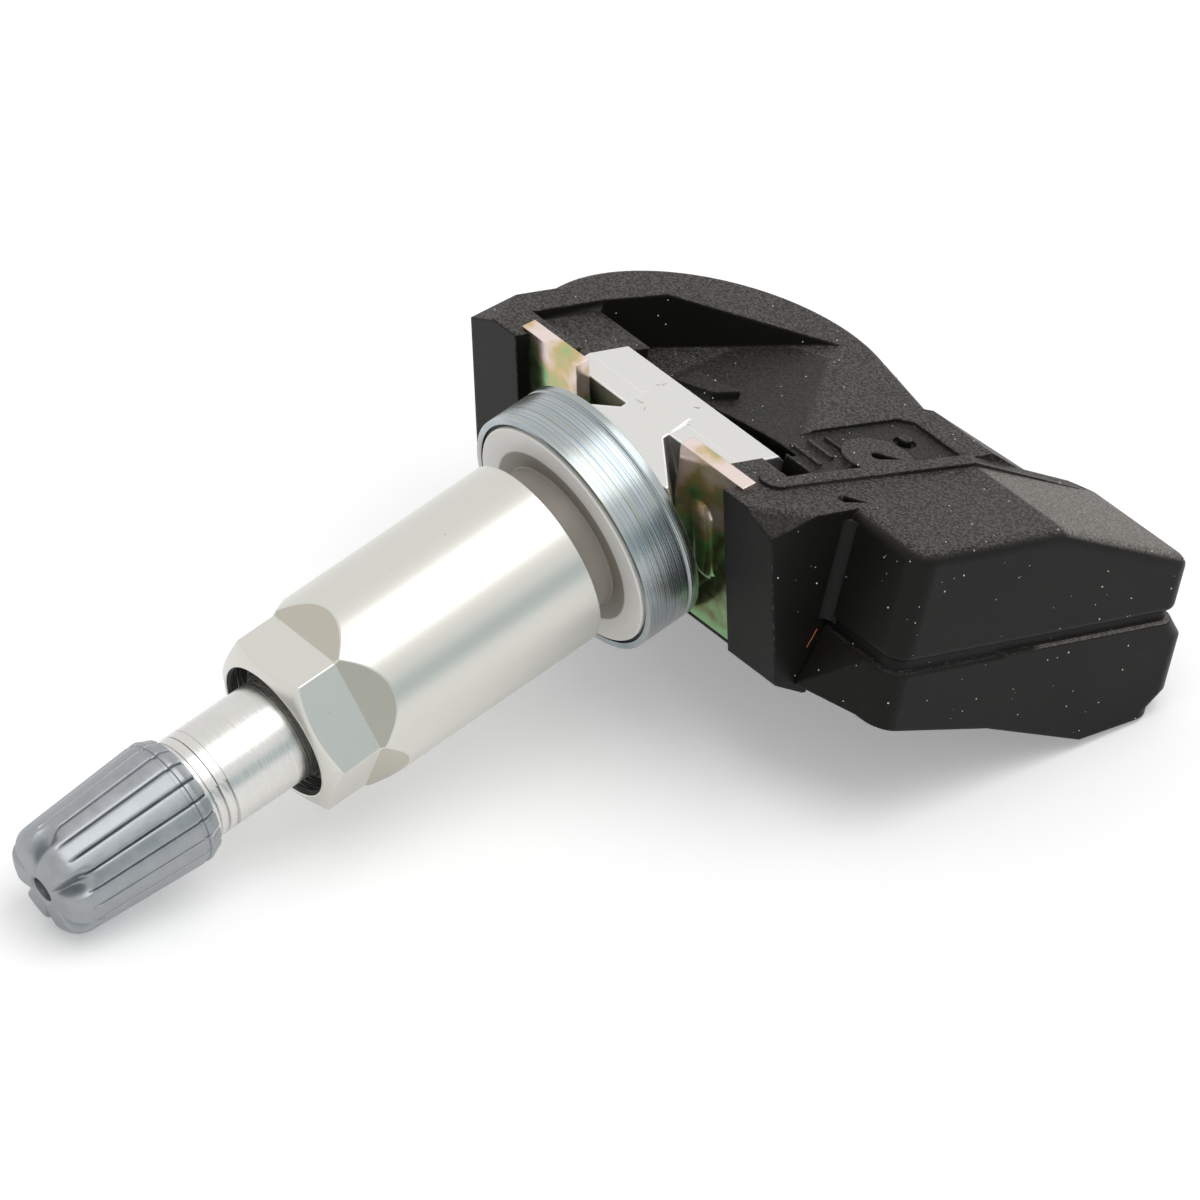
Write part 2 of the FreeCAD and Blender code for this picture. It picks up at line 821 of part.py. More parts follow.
def facet_cutter(drop):
    """Everything above the box's sloping top and steep tail, lowered by drop."""
    tail_y = box_back - tail_run
    edge = strap_back_x - strap_width / 2
    side_slope = math.tan(math.radians(side_fall_angle))
    cutters = []
    for start, slope, x0, x1 in ((facet_start, facet_slope, edge, far),
                                 (waist_y, side_slope, waist_x, edge + 0.01)):
        tail_z = case_top - (tail_y - start) * slope
        outline = [
            (start, case_top - drop), (tail_y, tail_z - drop), (box_back, tail_z - tail_drop - drop),
            (far, tail_z - tail_drop - drop), (far, far), (start, far),
        ]
        cutters.append(side_prism(outline, x0, x1))
    return cutters


def rounded_rim(solid, level, radius):
    """The solid with the outer edges that lie at that level rounded."""
    rim = [edge for edge in solid.Edges if all(abs(v.Z - level) < 1e-6 for v in edge.Vertexes)]
    return solid.makeFillet(radius, rim)


def shell_blank():
    """The upper shell's outer form, with the top edges of its round end and of its box rounded."""
    solid = rounded_rim(column(0.0, seam_level, case_top), seam_level, seam_round).cut(facet_cutter(0.0))
    wanted = []
    for edge in solid.Edges:
        middle = edge.valueAt((edge.FirstParameter + edge.LastParameter) / 2)
        faces = solid.ancestorsOfType(edge, Part.Face)
        normals = [face.normalAt(*face.Surface.parameter(middle)) for face in faces]
        meets_top = any(n.z > 0.9 for n in normals) and any(abs(n.z) < 0.1 for n in normals)
        on_box = middle.x > tail_corner_x
        on_round_end = middle.x < waist_x and middle.y > box_front
        if meets_top and (on_box or on_round_end):
            wanted.append(edge)
    return solid.makeFillet(edge_round, wanted)


def head_pocket(radius):
    """The trough that the hammer head turns in, open upwards and to the plate."""
    half = head_half_length + tilt_gap + (radius - pocket_radius)
    trough = Part.makeCylinder(radius, 2 * half, FreeCAD.Vector(-half, 0, 0), X)
    over = placed(block(-half, half, -far, 0, -pocket_sill, far), nose_in_case)
    passage = placed(block(-slot_half, slot_half, -far, 0, -slot_bottom, far), nose_in_case)
    reach = math.sqrt(max(radius ** 2 - case_top ** 2, 0.01))
    above = block(-half, half, -radius, reach, 0, far)
    return trough.fuse([over, passage, above])


def trough_wall(gap):
    """The rounded underside of the trough, which hangs below the seam."""
    radius = pocket_radius + case_wall + gap
    half = head_half_length + tilt_gap + case_wall + gap
    bar = Part.makeCylinder(radius, 2 * half, FreeCAD.Vector(-half, 0, 0), X)
    return bar.common(block(-far, far, -far, far, -far, seam_level + gap / 2))


def above_recess(drop):
    """Everything above the recess floor, which falls away from its tip, lowered by drop."""
    corners = []
    for x, y in ((-far, -far), (far, -far), (far, far), (-far, far)):
        fall = (recess_tip_x - x) * recess_fall_x + (recess_tip_y - y) * recess_fall_y
        corners.append((x, y, case_top - fall - drop))
    return face_of(corners).extrude(FreeCAD.Vector(0, 0, far))


def crescent_recess():
    """The hollow sunk behind the hammer head, deepest at its left corner, and the deck beside it."""
    left = -head_half_length - tilt_gap
    rim = [(recess_left_x, deck_back), (recess_corner_x, recess_corner_y), (recess_tip_x, recess_tip_y),
           (recess_edge_x, pocket_radius), (recess_edge_x, 0), (left, 0), (left, deck_back)]
    bowl = slab(rim, -far, case_top + 1).common(above_recess(0.0))
    deck = block(recess_left_x, left + 0.1, deck_front, deck_back + 0.1, case_top - deck_depth, case_top + 1)
    behind_plate = placed(block(-far, far, -plate_front + plate_thickness + case_wall, far, -far, far),
                          nose_in_case)
    return bowl.fuse(deck.common(behind_plate))


def recess_wedge():
    """A small rib on the recess floor behind the head."""
    outline = [(wedge_left, wedge_front), (wedge_heel, wedge_front), (wedge_tip_x, wedge_tip_y),
               (wedge_left, wedge_back)]
    solid = slab(outline, 0, case_top)
    return solid.cut(above_recess(-wedge_height)).common(above_recess(roof_wall / 2))


def cavity(low):
    """The hollow of the upper casing, kept clear of the pocket, the recess and the nose."""
    hollow = column(-case_wall, low, roof_level)
    return hollow.cut(facet_cutter(roof_wall) + [
        head_pocket(pocket_radius + case_wall), above_recess(roof_wall)])


def strap_x(y):
    """Where the middle of the strap lies across the casing at a point along it."""
    share = (y - strap_front) / (facet_start - strap_front)
    return strap_front_x + share * (strap_back_x - strap_front_x)


def strap():
    """The raised strip along the box's edge, with a round boss at its front end."""
    half = strap_width / 2
    outline = [(strap_x(strap_front) - half, strap_front), (strap_x(strap_front) + half, strap_front),
               (strap_back_x + half, facet_start), (strap_back_x - half, facet_start)]
    flat = slab(outline, case_top - strap_root, case_top + strap_height)
    tail_end = tail_left_y - edge_round
    fall = (tail_end - facet_start) * facet_slope
    ridge = [(facet_start, case_top + strap_height), (tail_end, case_top - fall + strap_slope_height),
             (tail_end, case_top - strap_root - fall), (facet_start, case_top - strap_root)]
    slope = side_prism(ridge, strap_back_x - half, strap_back_x + half)
    end = rod(strap_boss_radius, case_top - strap_root, case_top + strap_height,
              strap_front_x - strap_boss_lean, strap_front)
    return [flat, slope, end]


def panel_outline():
    right = strap_x(panel_front) - strap_width / 2
    right_back = strap_x(panel_back) - strap_width / 2
    left_back = panel_left + panel_lean
    return [(panel_left, panel_front), (right, panel_front), (right_back, panel_back),
            (left_back + panel_corner, panel_back), (left_back, panel_back - panel_corner)]


def panel_ribs():
    level = case_top - panel_depth
    ribs = []
    for k in range(rib_count):
        x = panel_left + panel_lean + rib_inset
        y = panel_front + rib_lead + rib_pitch * k
        ribs.append(block(x, x + rib_length - rib_shortening * k, y, y + rib_width,
                          level - rib_below_top, case_top - rib_below_top))
    return ribs


def upper_housing():
    under_top = block(-far, far, -far, box_front + case_wall, -far, case_top)
    nose = nose_block().common(under_top)
    cell_room = rod(cell_radius + cell_gap + case_wall + paint_gap, -far, seam_level, disc_x, cell_y)
    behind = block(-far, far, box_front - paint_gap, far, -far, seam_level)
    body = nose.cut([cell_room, behind]).fuse([shell_blank(), trough_wall(0.0)] + strap())
    level = case_top - panel_depth
    panel = slab(panel_outline(), level, case_top + paint_gap)
    side_pocket = block(head_half_length, side_pocket_right, side_pocket_front, side_pocket_back,
                        case_top - side_pocket_depth, far)
    body = body.cut([panel, side_pocket, head_pocket(pocket_radius), crescent_recess(),
                     cavity(seam_level - cavity_drop)] + plate_room())
    boss = rod(boss_radius, roof_level, case_top + boss_height, boss_x, boss_y)
    pin = rod(pin_mark_radius, roof_level, case_top + pin_mark_height, pin_mark_x, pin_mark_y)
    dimple = rod(pin_dimple_radius, level - pin_dimple_depth, far, pin_mark_x, pin_mark_y)
    posts = board_posts(board_level + board_thickness, roof_level + roof_wall / 2)
    body = body.cut(dimple).fuse([boss, pin, posts, recess_wedge()] + panel_ribs())
    vents = [teardrop(boss_x, boss_y, roof_level - vent_depth, far),
             teardrop(corner_vent_x, corner_vent_y, case_top - corner_vent_depth, far)]
    return body.cut(vents).removeSplitter()


def teardrop(x, y, z0, z1):
    """A small vent hole, round at one end and drawn to a point."""
    hole = rod(vent_radius, z0, z1)
    point = slab([(0, -vent_radius), (vent_lean + vent_radius, 0), (0, vent_radius)], z0, z1)
    drop = hole.fuse(point)
    drop.rotate(FreeCAD.Vector(0, 0, 0), Z, vent_turn)
    drop.translate(FreeCAD.Vector(x, y, 0))
    return drop


def board_posts(z0, z1):
    """Round posts that hold the board between the two halves of the casing."""
    spots = board_post_spots()
    posts = [rod(post_radius, z0, z1, x, y) for x, y in spots]
    return posts[0].fuse(posts[1:])


def board_post_spots():
    inset = case_wall + board_gap + aerial_inset + aerial_thickness + post_radius + post_clearance
    return [(box_right - inset, box_front + inset), (box_right - inset, facet_start),
            (panel_left - case_wall, board_back - post_radius - post_setback)]


def box_profile():
    """The lower half of the box seen from the side; its underside follows the well of the rim."""
    return [
        (-far, far), (-far, box_floor_front), (box_front, box_floor_front), (box_mid_y, box_floor_mid),
        (box_keel_y, box_keel), (box_tail_y, box_tail_low), (cover_back, box_tail_high), (cover_back, far),
    ]


def tail_slice(back, z):
    """The outline of the box's rear half at one level, with its two rear corners rounded."""
    r = box_corner
    left, right, front = tail_corner_x, box_right, box_mid_y
    low = r * (1 - math.sqrt(0.5))
    points = vectors([
        (left, front, z), (right, front, z), (right, back - r, z), (right - low, back - low, z),
        (right - r, back, z), (left + r, back, z), (left + low, back - low, z), (left, back - r, z)])
    one, two, three, bend, four, five, turn_back, six = points
    return Part.Wire([
        Part.makeLine(one, two), Part.makeLine(two, three), Part.Arc(three, bend, four).toShape(),
        Part.makeLine(four, five), Part.Arc(five, turn_back, six).toShape(), Part.makeLine(six, one)])


def box_tail():
    """The box's rear half, which swells out below the seam and is cut back towards the table."""
    lean = (cover_back - box_tail_y) / (box_tail_high - box_tail_low)
    low = box_keel - overrun
    levels = [(box_back, seam_level - seam_height), (cover_back, bulge_level), (cover_back, box_tail_high),
              (box_tail_y - (box_tail_low - low) * lean, low)]
    return Part.makeLoft([tail_slice(back, z) for back, z in levels], True, True)


def resting_level(y):
    """The height, in the case frame, of the table under a point y along the casing."""
    return box_tail_low + (y - box_tail_y) * math.tan(math.radians(case_pitch))


def front_flare():
    """The wedge that brings the lower cover's front wall forward beside the nose."""
    x0 = nose_half_width + 0.05
    top_left = (x0, box_front, seam_level - seam_height)
    top_right = (flare_right, box_front, seam_level - seam_height)
    low_right = (flare_right, box_front, box_floor_front)
    low_left = (x0, box_front, box_floor_front)
    tip = (x0, box_front - flare_reach, box_floor_front)
    faces = [face_of(points) for points in (
        [top_left, top_right, low_right, low_left], [top_left, top_right, tip], [top_right, low_right, tip],
        [low_right, low_left, tip], [low_left, top_left, tip])]
    return Part.makeSolid(Part.makeShell(faces))


def foot():
    """The low rib under the round end that the part rests on, cut level with the table."""
    low = resting_level(foot_y)
    top = round_bottom + cover_floor / 2
    return rod(foot_radius, low, top, foot_x, foot_y).fuse([
        rod(foot_radius, low, top, foot_x + foot_length, foot_y),
        block(foot_x, foot_x + foot_length, foot_y - foot_radius, foot_y + foot_radius, low, top)])


def lower_cover():
    seam_low = seam_level - seam_height
    lip = column(-seam_step, seam_low, seam_level)
    deep = rounded_rim(column(0.0, box_keel - overrun, seam_low), seam_low, cover_round)
    round_end = deep.common(block(-far, box_left, -far, far, round_bottom, far))
    box = deep.fuse(box_tail()).common(block(box_left, far, -far, far, -far, far))
    box = box.common(side_prism(box_profile(), -far, far))
    cup = rod(cell_radius + cell_gap + case_wall, round_bottom, seam_level, disc_x, cell_y)
    nose_side = block(-nose_half_width, nose_half_width, -far, box_front, -far, far).cut(
        rod(cell_radius + cell_gap + case_wall, -far, far, disc_x, cell_y))
    body = lip.fuse([round_end, box, cup]).cut(nose_side).fuse([front_flare(), foot()])
    cell_in = rod(cell_radius + cell_gap, floor_level, seam_level + overrun, disc_x, cell_y)
    round_in = column(-case_wall, floor_level, seam_level + overrun).common(
        block(-far, box_left, -far, far, -far, far))
    lifted = side_prism([(y, z + cover_floor) for y, z in box_profile()[:6]] + [
        (box_back - case_wall, box_tail_low + cover_floor), (box_back - case_wall, far)], -far, far)
    box_in = column(-case_wall, box_keel - overrun, seam_level + overrun).common(
        block(box_left - paint_gap, far, -far, far, -far, far)).common(lifted)
    body = body.cut([cell_in, round_in, box_in, trough_wall(paint_gap)])
    pillars = board_posts(box_keel - overrun, board_level).common(
        side_prism([(y, z + pillar_bite) for y, z in box_profile()], -far, far))
    return body.fuse(pillars).removeSplitter()


def battery_cell():
    """The coin cell: a flat can with a smaller raised cap."""
    rim = cell_rim
    cap_radius = cell_radius - cell_cap_inset
    cap_base = cell_top - cell_cap_drop
    outline = [
        (0, cell_level), (cell_radius - rim, cell_level), (cell_radius, cell_level + rim),
        (cell_radius, cell_top - cell_rim_drop), (cell_radius - rim, cap_base), (cap_radius, cap_base),
        (cap_radius, cell_top), (0, cell_top),
    ]
    cell = turned(outline)
    cell.translate(FreeCAD.Vector(disc_x, cell_y, 0))
    return cell


def battery_tab_top():
    """The welded strip that runs from the cell's upper face and up to the board."""
    left = disc_x + tab_offset - tab_width / 2
    right = left + tab_width
    reach = board_back - tab_end_gap
    flat = block(left, right, cell_y - tab_overlap, reach, cell_top, cell_top + tab_thickness)
    leg = block(left, right, reach - tab_thickness, reach, cell_top, board_level)
    return flat.fuse(leg).removeSplitter()


def battery_tab_bottom():
    left = disc_x - tab_offset - tab_width / 2
    room = rod(cell_radius + cell_gap - running_gap, -far, far, disc_x, cell_y)
    return block(left, left + tab_width, cell_y - tab_overlap, far, floor_level, cell_level).common(room)


def circuit_board():
    """The board, which runs behind the pocket and fills the box."""
    inset = case_wall + board_gap
    z0, z1 = board_level, board_level + board_thickness
    long_part = block(board_left, box_right - inset, board_front, board_back, z0, z1)
    box_part = block(box_left + 2 * inset, box_right - inset, box_front + inset + board_box_setback,
                     box_back - inset, z0, z1)
    return long_part.fuse(box_part).removeSplitter()


def pressure_sensor():
    """The moulded package that holds the gauge, the controller and the transmitter."""
    z0 = board_level + board_thickness
    front = boss_y - chip_front
    body = block(boss_x - chip_width / 2, boss_x + chip_width / 2, front, front + chip_length, z0, chip_top)
    return body.cut(rod(chip_port_radius, chip_top - chip_port_depth, chip_top + overrun,
                        boss_x, boss_y + chip_port_offset))


def port_seal():
    """The soft tube that leads air from the casing's vent to the sensor's port."""
    y = boss_y + chip_port_offset
    head = roof_level - paint_gap
    low, high = roof_level - seal_link_drop, roof_level - seal_link_roof
    half = chip_port_radius - running_gap
    outer = rod(seal_tube_radius, chip_top, head, boss_x, y).fuse(
        rod(seal_tube_radius, roof_level - seal_head_height, head, boss_x, boss_y))
    inner = rod(chip_port_radius, chip_top - overrun, high, boss_x, y)
    link = rod(chip_port_radius, low, roof_level + overrun, boss_x, boss_y).fuse(
        block(boss_x - half, boss_x + half, boss_y, y, low, high))
    return outer.cut([inner, link]).removeSplitter()


def vent_membrane():
    """The disc that lets air through the vent and keeps water out."""
    low = roof_level - seal_link_roof
    return rod(chip_port_radius - paint_gap, low, low + membrane_thickness, boss_x, boss_y)


def ferrite_core():
    z = board_level + board_thickness + winding_radius + paint_gap
    half = ferrite_side / 2
    bar = block(coil_x - half, coil_x + half, coil_y - ferrite_length / 2, coil_y + ferrite_length / 2,
                z - half, z + half)
    ends = []
    for side in (-1, 1):
        y = coil_y + side * (ferrite_length - ferrite_flange) / 2
        ends.append(block(coil_x - winding_radius, coil_x + winding_radius, y - ferrite_flange / 2,
                          y + ferrite_flange / 2, z - winding_radius, z + winding_radius))
    return bar.fuse(ends).removeSplitter()


def coil_winding():
    z = board_level + board_thickness + winding_radius + paint_gap
    half = ferrite_side / 2 + paint_gap
    y0 = coil_y - winding_length / 2
    body = Part.makeCylinder(winding_radius - loose_gap, winding_length, FreeCAD.Vector(coil_x, y0, z),
                             FreeCAD.Vector(0, 1, 0))
    return body.cut(block(coil_x - half, coil_x + half, y0 - overrun, y0 + winding_length + overrun,
                          z - half, z + half))


def crystal():
    z0 = board_level + board_thickness
    return rounded_block(crystal_x - crystal_width / 2, crystal_x + crystal_width / 2,
                         crystal_y - crystal_length / 2, crystal_y + crystal_length / 2, crystal_corner,
                         z0, z0 + crystal_height)


def aerial():
    """The bent strip that sends the signal, standing on edge round the board."""
    z0 = board_level + board_thickness
    z1 = z0 + aerial_height
    inset = case_wall + board_gap + aerial_inset
    right = box_right - inset
    front = box_front + inset
    t = aerial_thickness
    outer = block(aerial_left, right, front, aerial_back, z0, z1)
    inner = block(aerial_left - overrun, right - t, front + t, aerial_back - t, z0 - overrun, z1 + overrun)
    return outer.cut(inner)


def chip_capacitors():
    z0 = board_level + board_thickness
    parts = []
    for row in range(capacitor_rows):
        for column in range(capacitor_columns):
            x = capacitor_x - column * capacitor_column_pitch
            y = capacitor_y + row * capacitor_pitch
            parts.append(block(x - capacitor_length, x, y, y + capacitor_side, z0, z0 + capacitor_side))
    return Part.makeCompound(parts)


pieces = {
    "upper_housing": (upper_housing, case_frame),
    "lower_cover": (lower_cover, case_frame),
    "bracket_plate": (bracket_plate, nose_frame),
    "circuit_board": (circuit_board, case_frame),
    "battery_cell": (battery_cell, case_frame),
    "battery_tab_top": (battery_tab_top, case_frame),
    "battery_tab_bottom": (battery_tab_bottom, case_frame),
    "pressure_sensor": (pressure_sensor, case_frame),
    "port_seal": (port_seal, case_frame),
    "vent_membrane": (vent_membrane, case_frame),
    "ferrite_core": (ferrite_core, case_frame),
    "coil_winding": (coil_winding, case_frame),
    "crystal": (crystal, case_frame),
    "aerial": (aerial, case_frame),
    "chip_capacitors": (chip_capacitors, case_frame),
    "valve_stem": (valve_stem, stem_frame),
    "clamp_ring": (clamp_ring, stem_frame),
    "rubber_grommet": (rubber_grommet, stem_frame),
    "seal_collar": (seal_collar, stem_frame),
    "core_body": (core_body, stem_frame),
    "core_gasket": (core_gasket, stem_frame),
    "core_pin": (core_pin, stem_frame),
    "core_seat": (core_seat, stem_frame),
    "core_spring": (core_spring, stem_frame),
    "nut_slip_washer": (nut_slip_washer, stem_frame),
    "sleeve_nut": (sleeve_nut, stem_frame),
    "cap_gasket": (cap_gasket, stem_frame),
    "valve_cap": (valve_cap, stem_frame),
}

os.makedirs("parts", exist_ok=True)
for name, (make, frame) in pieces.items():
    shape = placed(make(), frame)
    shape.exportStep("parts/" + name + ".step")
    box = shape.BoundBox
    print(name, len(shape.Solids), shape.isValid(), round(shape.Volume, 2),
          [round(v, 2) for v in (box.XMin, box.YMin, box.ZMin, box.XMax, box.YMax, box.ZMax)])
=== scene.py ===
import json
import math

import bmesh
import bpy
from mathutils import Matrix, Vector


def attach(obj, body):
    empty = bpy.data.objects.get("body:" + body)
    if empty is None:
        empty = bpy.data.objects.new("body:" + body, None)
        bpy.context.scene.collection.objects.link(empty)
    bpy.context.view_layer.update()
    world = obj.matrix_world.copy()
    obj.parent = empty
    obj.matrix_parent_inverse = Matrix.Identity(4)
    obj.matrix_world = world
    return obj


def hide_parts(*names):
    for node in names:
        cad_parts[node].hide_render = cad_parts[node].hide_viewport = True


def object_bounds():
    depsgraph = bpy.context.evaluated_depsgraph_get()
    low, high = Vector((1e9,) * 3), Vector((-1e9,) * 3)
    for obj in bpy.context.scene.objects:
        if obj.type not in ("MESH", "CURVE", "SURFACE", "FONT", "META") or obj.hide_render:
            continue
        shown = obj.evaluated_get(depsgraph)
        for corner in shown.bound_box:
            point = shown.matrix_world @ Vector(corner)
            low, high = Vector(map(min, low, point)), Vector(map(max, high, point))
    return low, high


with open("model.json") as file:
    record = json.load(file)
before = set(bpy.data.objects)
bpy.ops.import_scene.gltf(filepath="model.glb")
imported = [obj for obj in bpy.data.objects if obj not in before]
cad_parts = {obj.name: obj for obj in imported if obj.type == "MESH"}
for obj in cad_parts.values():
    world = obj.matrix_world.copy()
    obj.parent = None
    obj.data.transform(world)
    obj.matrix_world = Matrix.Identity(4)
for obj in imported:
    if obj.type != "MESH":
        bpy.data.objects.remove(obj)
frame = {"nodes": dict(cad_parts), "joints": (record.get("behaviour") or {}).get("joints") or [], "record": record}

bl_info = {
    "name": "Tyre pressure sensor",
    "version": (1, 0, 0),
    "blender": (4, 5, 0),
    "location": "3D View > Sidebar > Sensor",
    "description": "Dresses the packed sensor in finished pieces, materials, light and a camera",
    "category": "Object",
}

MM = 0.001
CAD_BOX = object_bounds()

# Three local frames of the part. Their units are metres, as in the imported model.
CASE_PITCH = 12.6
PLATE_LEAN = 5.8
RIM_SEAT = next(m for m in frame["record"]["mounts"] if m["name"] == "rim_seat")
OUT = Vector(RIM_SEAT["axis"]).normalized()
TILT = Vector(next(j for j in frame["joints"] if j["name"] == "stem_tilt")["pos_m"])
ACROSS = OUT.cross(Vector((1, 0, 0)))
STEM = Matrix(((1, 0, 0), ACROSS, OUT)).transposed().to_4x4()
CASE = Matrix.Translation(TILT) @ Matrix.Rotation(math.radians(-CASE_PITCH), 4, "X")
NOSE = Matrix.Translation(TILT) @ Matrix.Rotation(math.radians(PLATE_LEAN), 4, "X")

# Lengths under this count as nought, in metres and in millimetres.
TOUCHING = 1e-6

# The sockets of a Mix node that mixes colours, and settings that many nodes share.
FACTOR, ONE, TWO = 0, 6, 7
COLOURS = {"data_type": "RGBA"}
SOFT = {"interpolation_type": "SMOOTHSTEP"}


def linear(code):
    """An sRGB hex colour as linear red, green, blue and alpha."""
    shares = [int(code[i:i + 2], 16) / 255 for i in (0, 2, 4)]
    return [s / 12.92 if s <= 0.04045 else ((s + 0.055) / 1.055) ** 2.4 for s in shares] + [1.0]


def colour(name, description, code):
    return bpy.props.FloatVectorProperty(
        name=name, description=description, default=linear(code), subtype="COLOR", size=4, min=0, max=1)


def length(name, description, millimetres):
    return bpy.props.FloatProperty(
        name=name, description=description, default=millimetres * MM, unit="LENGTH", min=0, precision=5)


def number(name, description, value, **kind):
    return bpy.props.FloatProperty(name=name, description=description, default=value, min=0, **kind)


def angle(name, description, degrees):
    return number(name, description, math.radians(degrees), subtype="ANGLE")


def count(name, description, value):
    return bpy.props.IntProperty(name=name, description=description, default=value, min=1)


# Nodes

def add(tree, kind, inputs=None, stops=None, **settings):
    """Adds a node with its settings and links; a node given as an input means its first output in use."""
    node = tree.nodes.new(kind)
    for name, value in settings.items():
        setattr(node, name, value)
    for key, value in (inputs or {}).items():
        if isinstance(value, bpy.types.Node):
            value = next(output for output in value.outputs if output.enabled)
        if isinstance(value, bpy.types.NodeSocket):
            tree.links.new(value, node.inputs[key])
        else:
            node.inputs[key].default_value = value
    for k, (place, shade) in enumerate(stops or []):
        mark = node.color_ramp.elements[k] if k < 2 else node.color_ramp.elements.new(place)
        mark.position = place
        mark.color = shade
    return node


def blank_material(name):
    material = bpy.data.materials.new(name)
    material.use_nodes = True
    material.node_tree.nodes.clear()
    return material


def local_mm(tree, place):
    """Object coordinates in one of the part's local frames, in millimetres."""
    coords = add(tree, "ShaderNodeTexCoord").outputs["Object"]
    return add(tree, "ShaderNodeMapping", {
        "Vector": coords, "Location": place.to_translation(),
        "Rotation": place.to_euler(), "Scale": (MM, MM, MM)}, vector_type="TEXTURE")


def lathe_lines(tree, vector, pitch_mm):
    """Uneven rings round the stem's axis, about that far apart."""
    along = add(tree, "ShaderNodeSeparateXYZ", {"Vector": vector}).outputs["Z"]
    return add(tree, "ShaderNodeTexNoise", {
        "W": along, "Scale": 1 / pitch_mm, "Detail": 3.0, "Roughness": 0.6}, noise_dimensions="1D")


def rubbed_edge_highlight(tree, radius_mm):
    """One along sharp edges and nought on open faces: a mask for painted highlights on the edges, partly real wear
    where handling rubs an edge bare.
    """
    flat = add(tree, "ShaderNodeNewGeometry").outputs["Normal"]
    rounded_off = add(tree, "ShaderNodeBevel", {"Radius": radius_mm * MM}, samples=6)
    turn = add(tree, "ShaderNodeVectorMath", {0: flat, 1: rounded_off}, operation="DOT_PRODUCT")
    return add(tree, "ShaderNodeMapRange", {
        "Value": turn, "From Min": 0.93, "From Max": 0.995, "To Min": 1.0, "To Max": 0.0}, **SOFT)


# Meshes

def lathe(outline, segments):
    """A closed outline of (radius, z) points in millimetres, turned about z."""
    bm = bmesh.new()
    turns = [2 * math.pi * k / segments for k in range(segments)]
    rings = []
    for radius, z in outline:
        if radius < TOUCHING:
            rings.append([bm.verts.new((0, 0, z * MM))])
        else:
            rings.append([bm.verts.new((radius * MM * math.cos(a), radius * MM * math.sin(a), z * MM))
                          for a in turns])
    for one, two in zip(rings, rings[1:] + rings[:1]):
        if len(one) == 1 and len(two) == 1:
            continue
        for k in range(segments):
            after = (k + 1) % segments
            corners = [one[k % len(one)], one[after % len(one)], two[after % len(two)], two[k % len(two)]]
            bm.faces.new(list(dict.fromkeys(corners)))
    bmesh.ops.recalc_face_normals(bm, faces=bm.faces)
    return bm


def column(sections):
    """A closed column through rings of points in millimetres, each ring with as many points."""
    bm = bmesh.new()
    rings = [[bm.verts.new([axis * MM for axis in point]) for point in section] for section in sections]
    for one, two in zip(rings, rings[1:]):
        for k in range(len(one)):
            after = (k + 1) % len(one)
            bm.faces.new((one[k], one[after], two[after], two[k]))
    bm.faces.new(rings[0])
    bm.faces.new(rings[-1])
    bmesh.ops.recalc_face_normals(bm, faces=bm.faces)
    return bm


def hex_column(sizes):
    """A six-sided column through (across flats, z) sizes in millimetres."""
    turns = [math.radians(60 * k) for k in range(6)]
    corners = [(flats / math.sqrt(3), z) for flats, z in sizes]
    return column([[(corner * math.cos(a), corner * math.sin(a), z) for a in turns]
                   for corner, z in corners])


def corner_fillet(x, y, radius, low, high):
    """A hollow fillet up the corner of a wall along y and a wall along x, in millimetres."""
    steps, root = 8, 0.1
    turns = [math.radians(90 * k / steps) for k in range(steps + 1)]
    section = [(x + radius * (1 - math.cos(a)), y - radius * (1 - math.sin(a))) for a in turns]
    section += [(x + radius, y + root), (x - root, y + root), (x - root, y - radius)]
    return column([[(px, py, z) for px, py in section] for z in (low, high)])


def piece(name, bm, place=Matrix.Identity(4)):
    """An object at the origin with that mesh, moved to its place in the part."""
    mesh = bpy.data.meshes.new(name)
    bm.transform(place)
    bm.to_mesh(mesh)
    bm.free()
    obj = bpy.data.objects.new(name, mesh)
    bpy.context.scene.collection.objects.link(obj)
    return obj


def strand(name, points, radius_mm, place):
    """A fine round strand through points in millimetres."""
    curve = bpy.data.curves.new(name, "CURVE")
    curve.dimensions = "3D"
    curve.bevel_depth = radius_mm * MM
    curve.bevel_resolution = 1
    curve.use_fill_caps = True
    line = curve.splines.new("POLY")
    line.points.add(len(points) - 1)
    for point, spot in zip(line.points, points):
        point.co = (*(place @ (Vector(spot) * MM)), 1)
    drawn = bpy.data.objects.new(name, curve)
    bpy.context.scene.collection.objects.link(drawn)
    graph = bpy.context.evaluated_depsgraph_get()
    tube = bpy.data.meshes.new_from_object(drawn.evaluated_get(graph))
    bm = bmesh.new()
    bm.from_mesh(tube)
    bmesh.ops.remove_doubles(bm, verts=bm.verts, dist=TOUCHING)
    bmesh.ops.recalc_face_normals(bm, faces=bm.faces)
    bpy.data.meshes.remove(tube)
    bpy.data.objects.remove(drawn)
    bpy.data.curves.remove(curve)
    return piece(name, bm)


def merged_copy(node, name):
    """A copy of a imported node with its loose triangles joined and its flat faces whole."""
    flat_within = math.radians(0.4)
    bm = bmesh.new()
    bm.from_mesh(frame["nodes"][node].data)
    bmesh.ops.remove_doubles(bm, verts=bm.verts, dist=TOUCHING)
    bmesh.ops.dissolve_limit(bm, angle_limit=flat_within, verts=bm.verts, edges=bm.edges)
    return piece(name, bm)


def plain(obj):
    """Turns an object with modifiers into its plain mesh."""
    graph = bpy.context.evaluated_depsgraph_get()
    mesh = bpy.data.meshes.new_from_object(obj.evaluated_get(graph))
    old = obj.data
    obj.modifiers.clear()
    obj.data = mesh
    bpy.data.meshes.remove(old)
    mesh.name = obj.name
    return obj


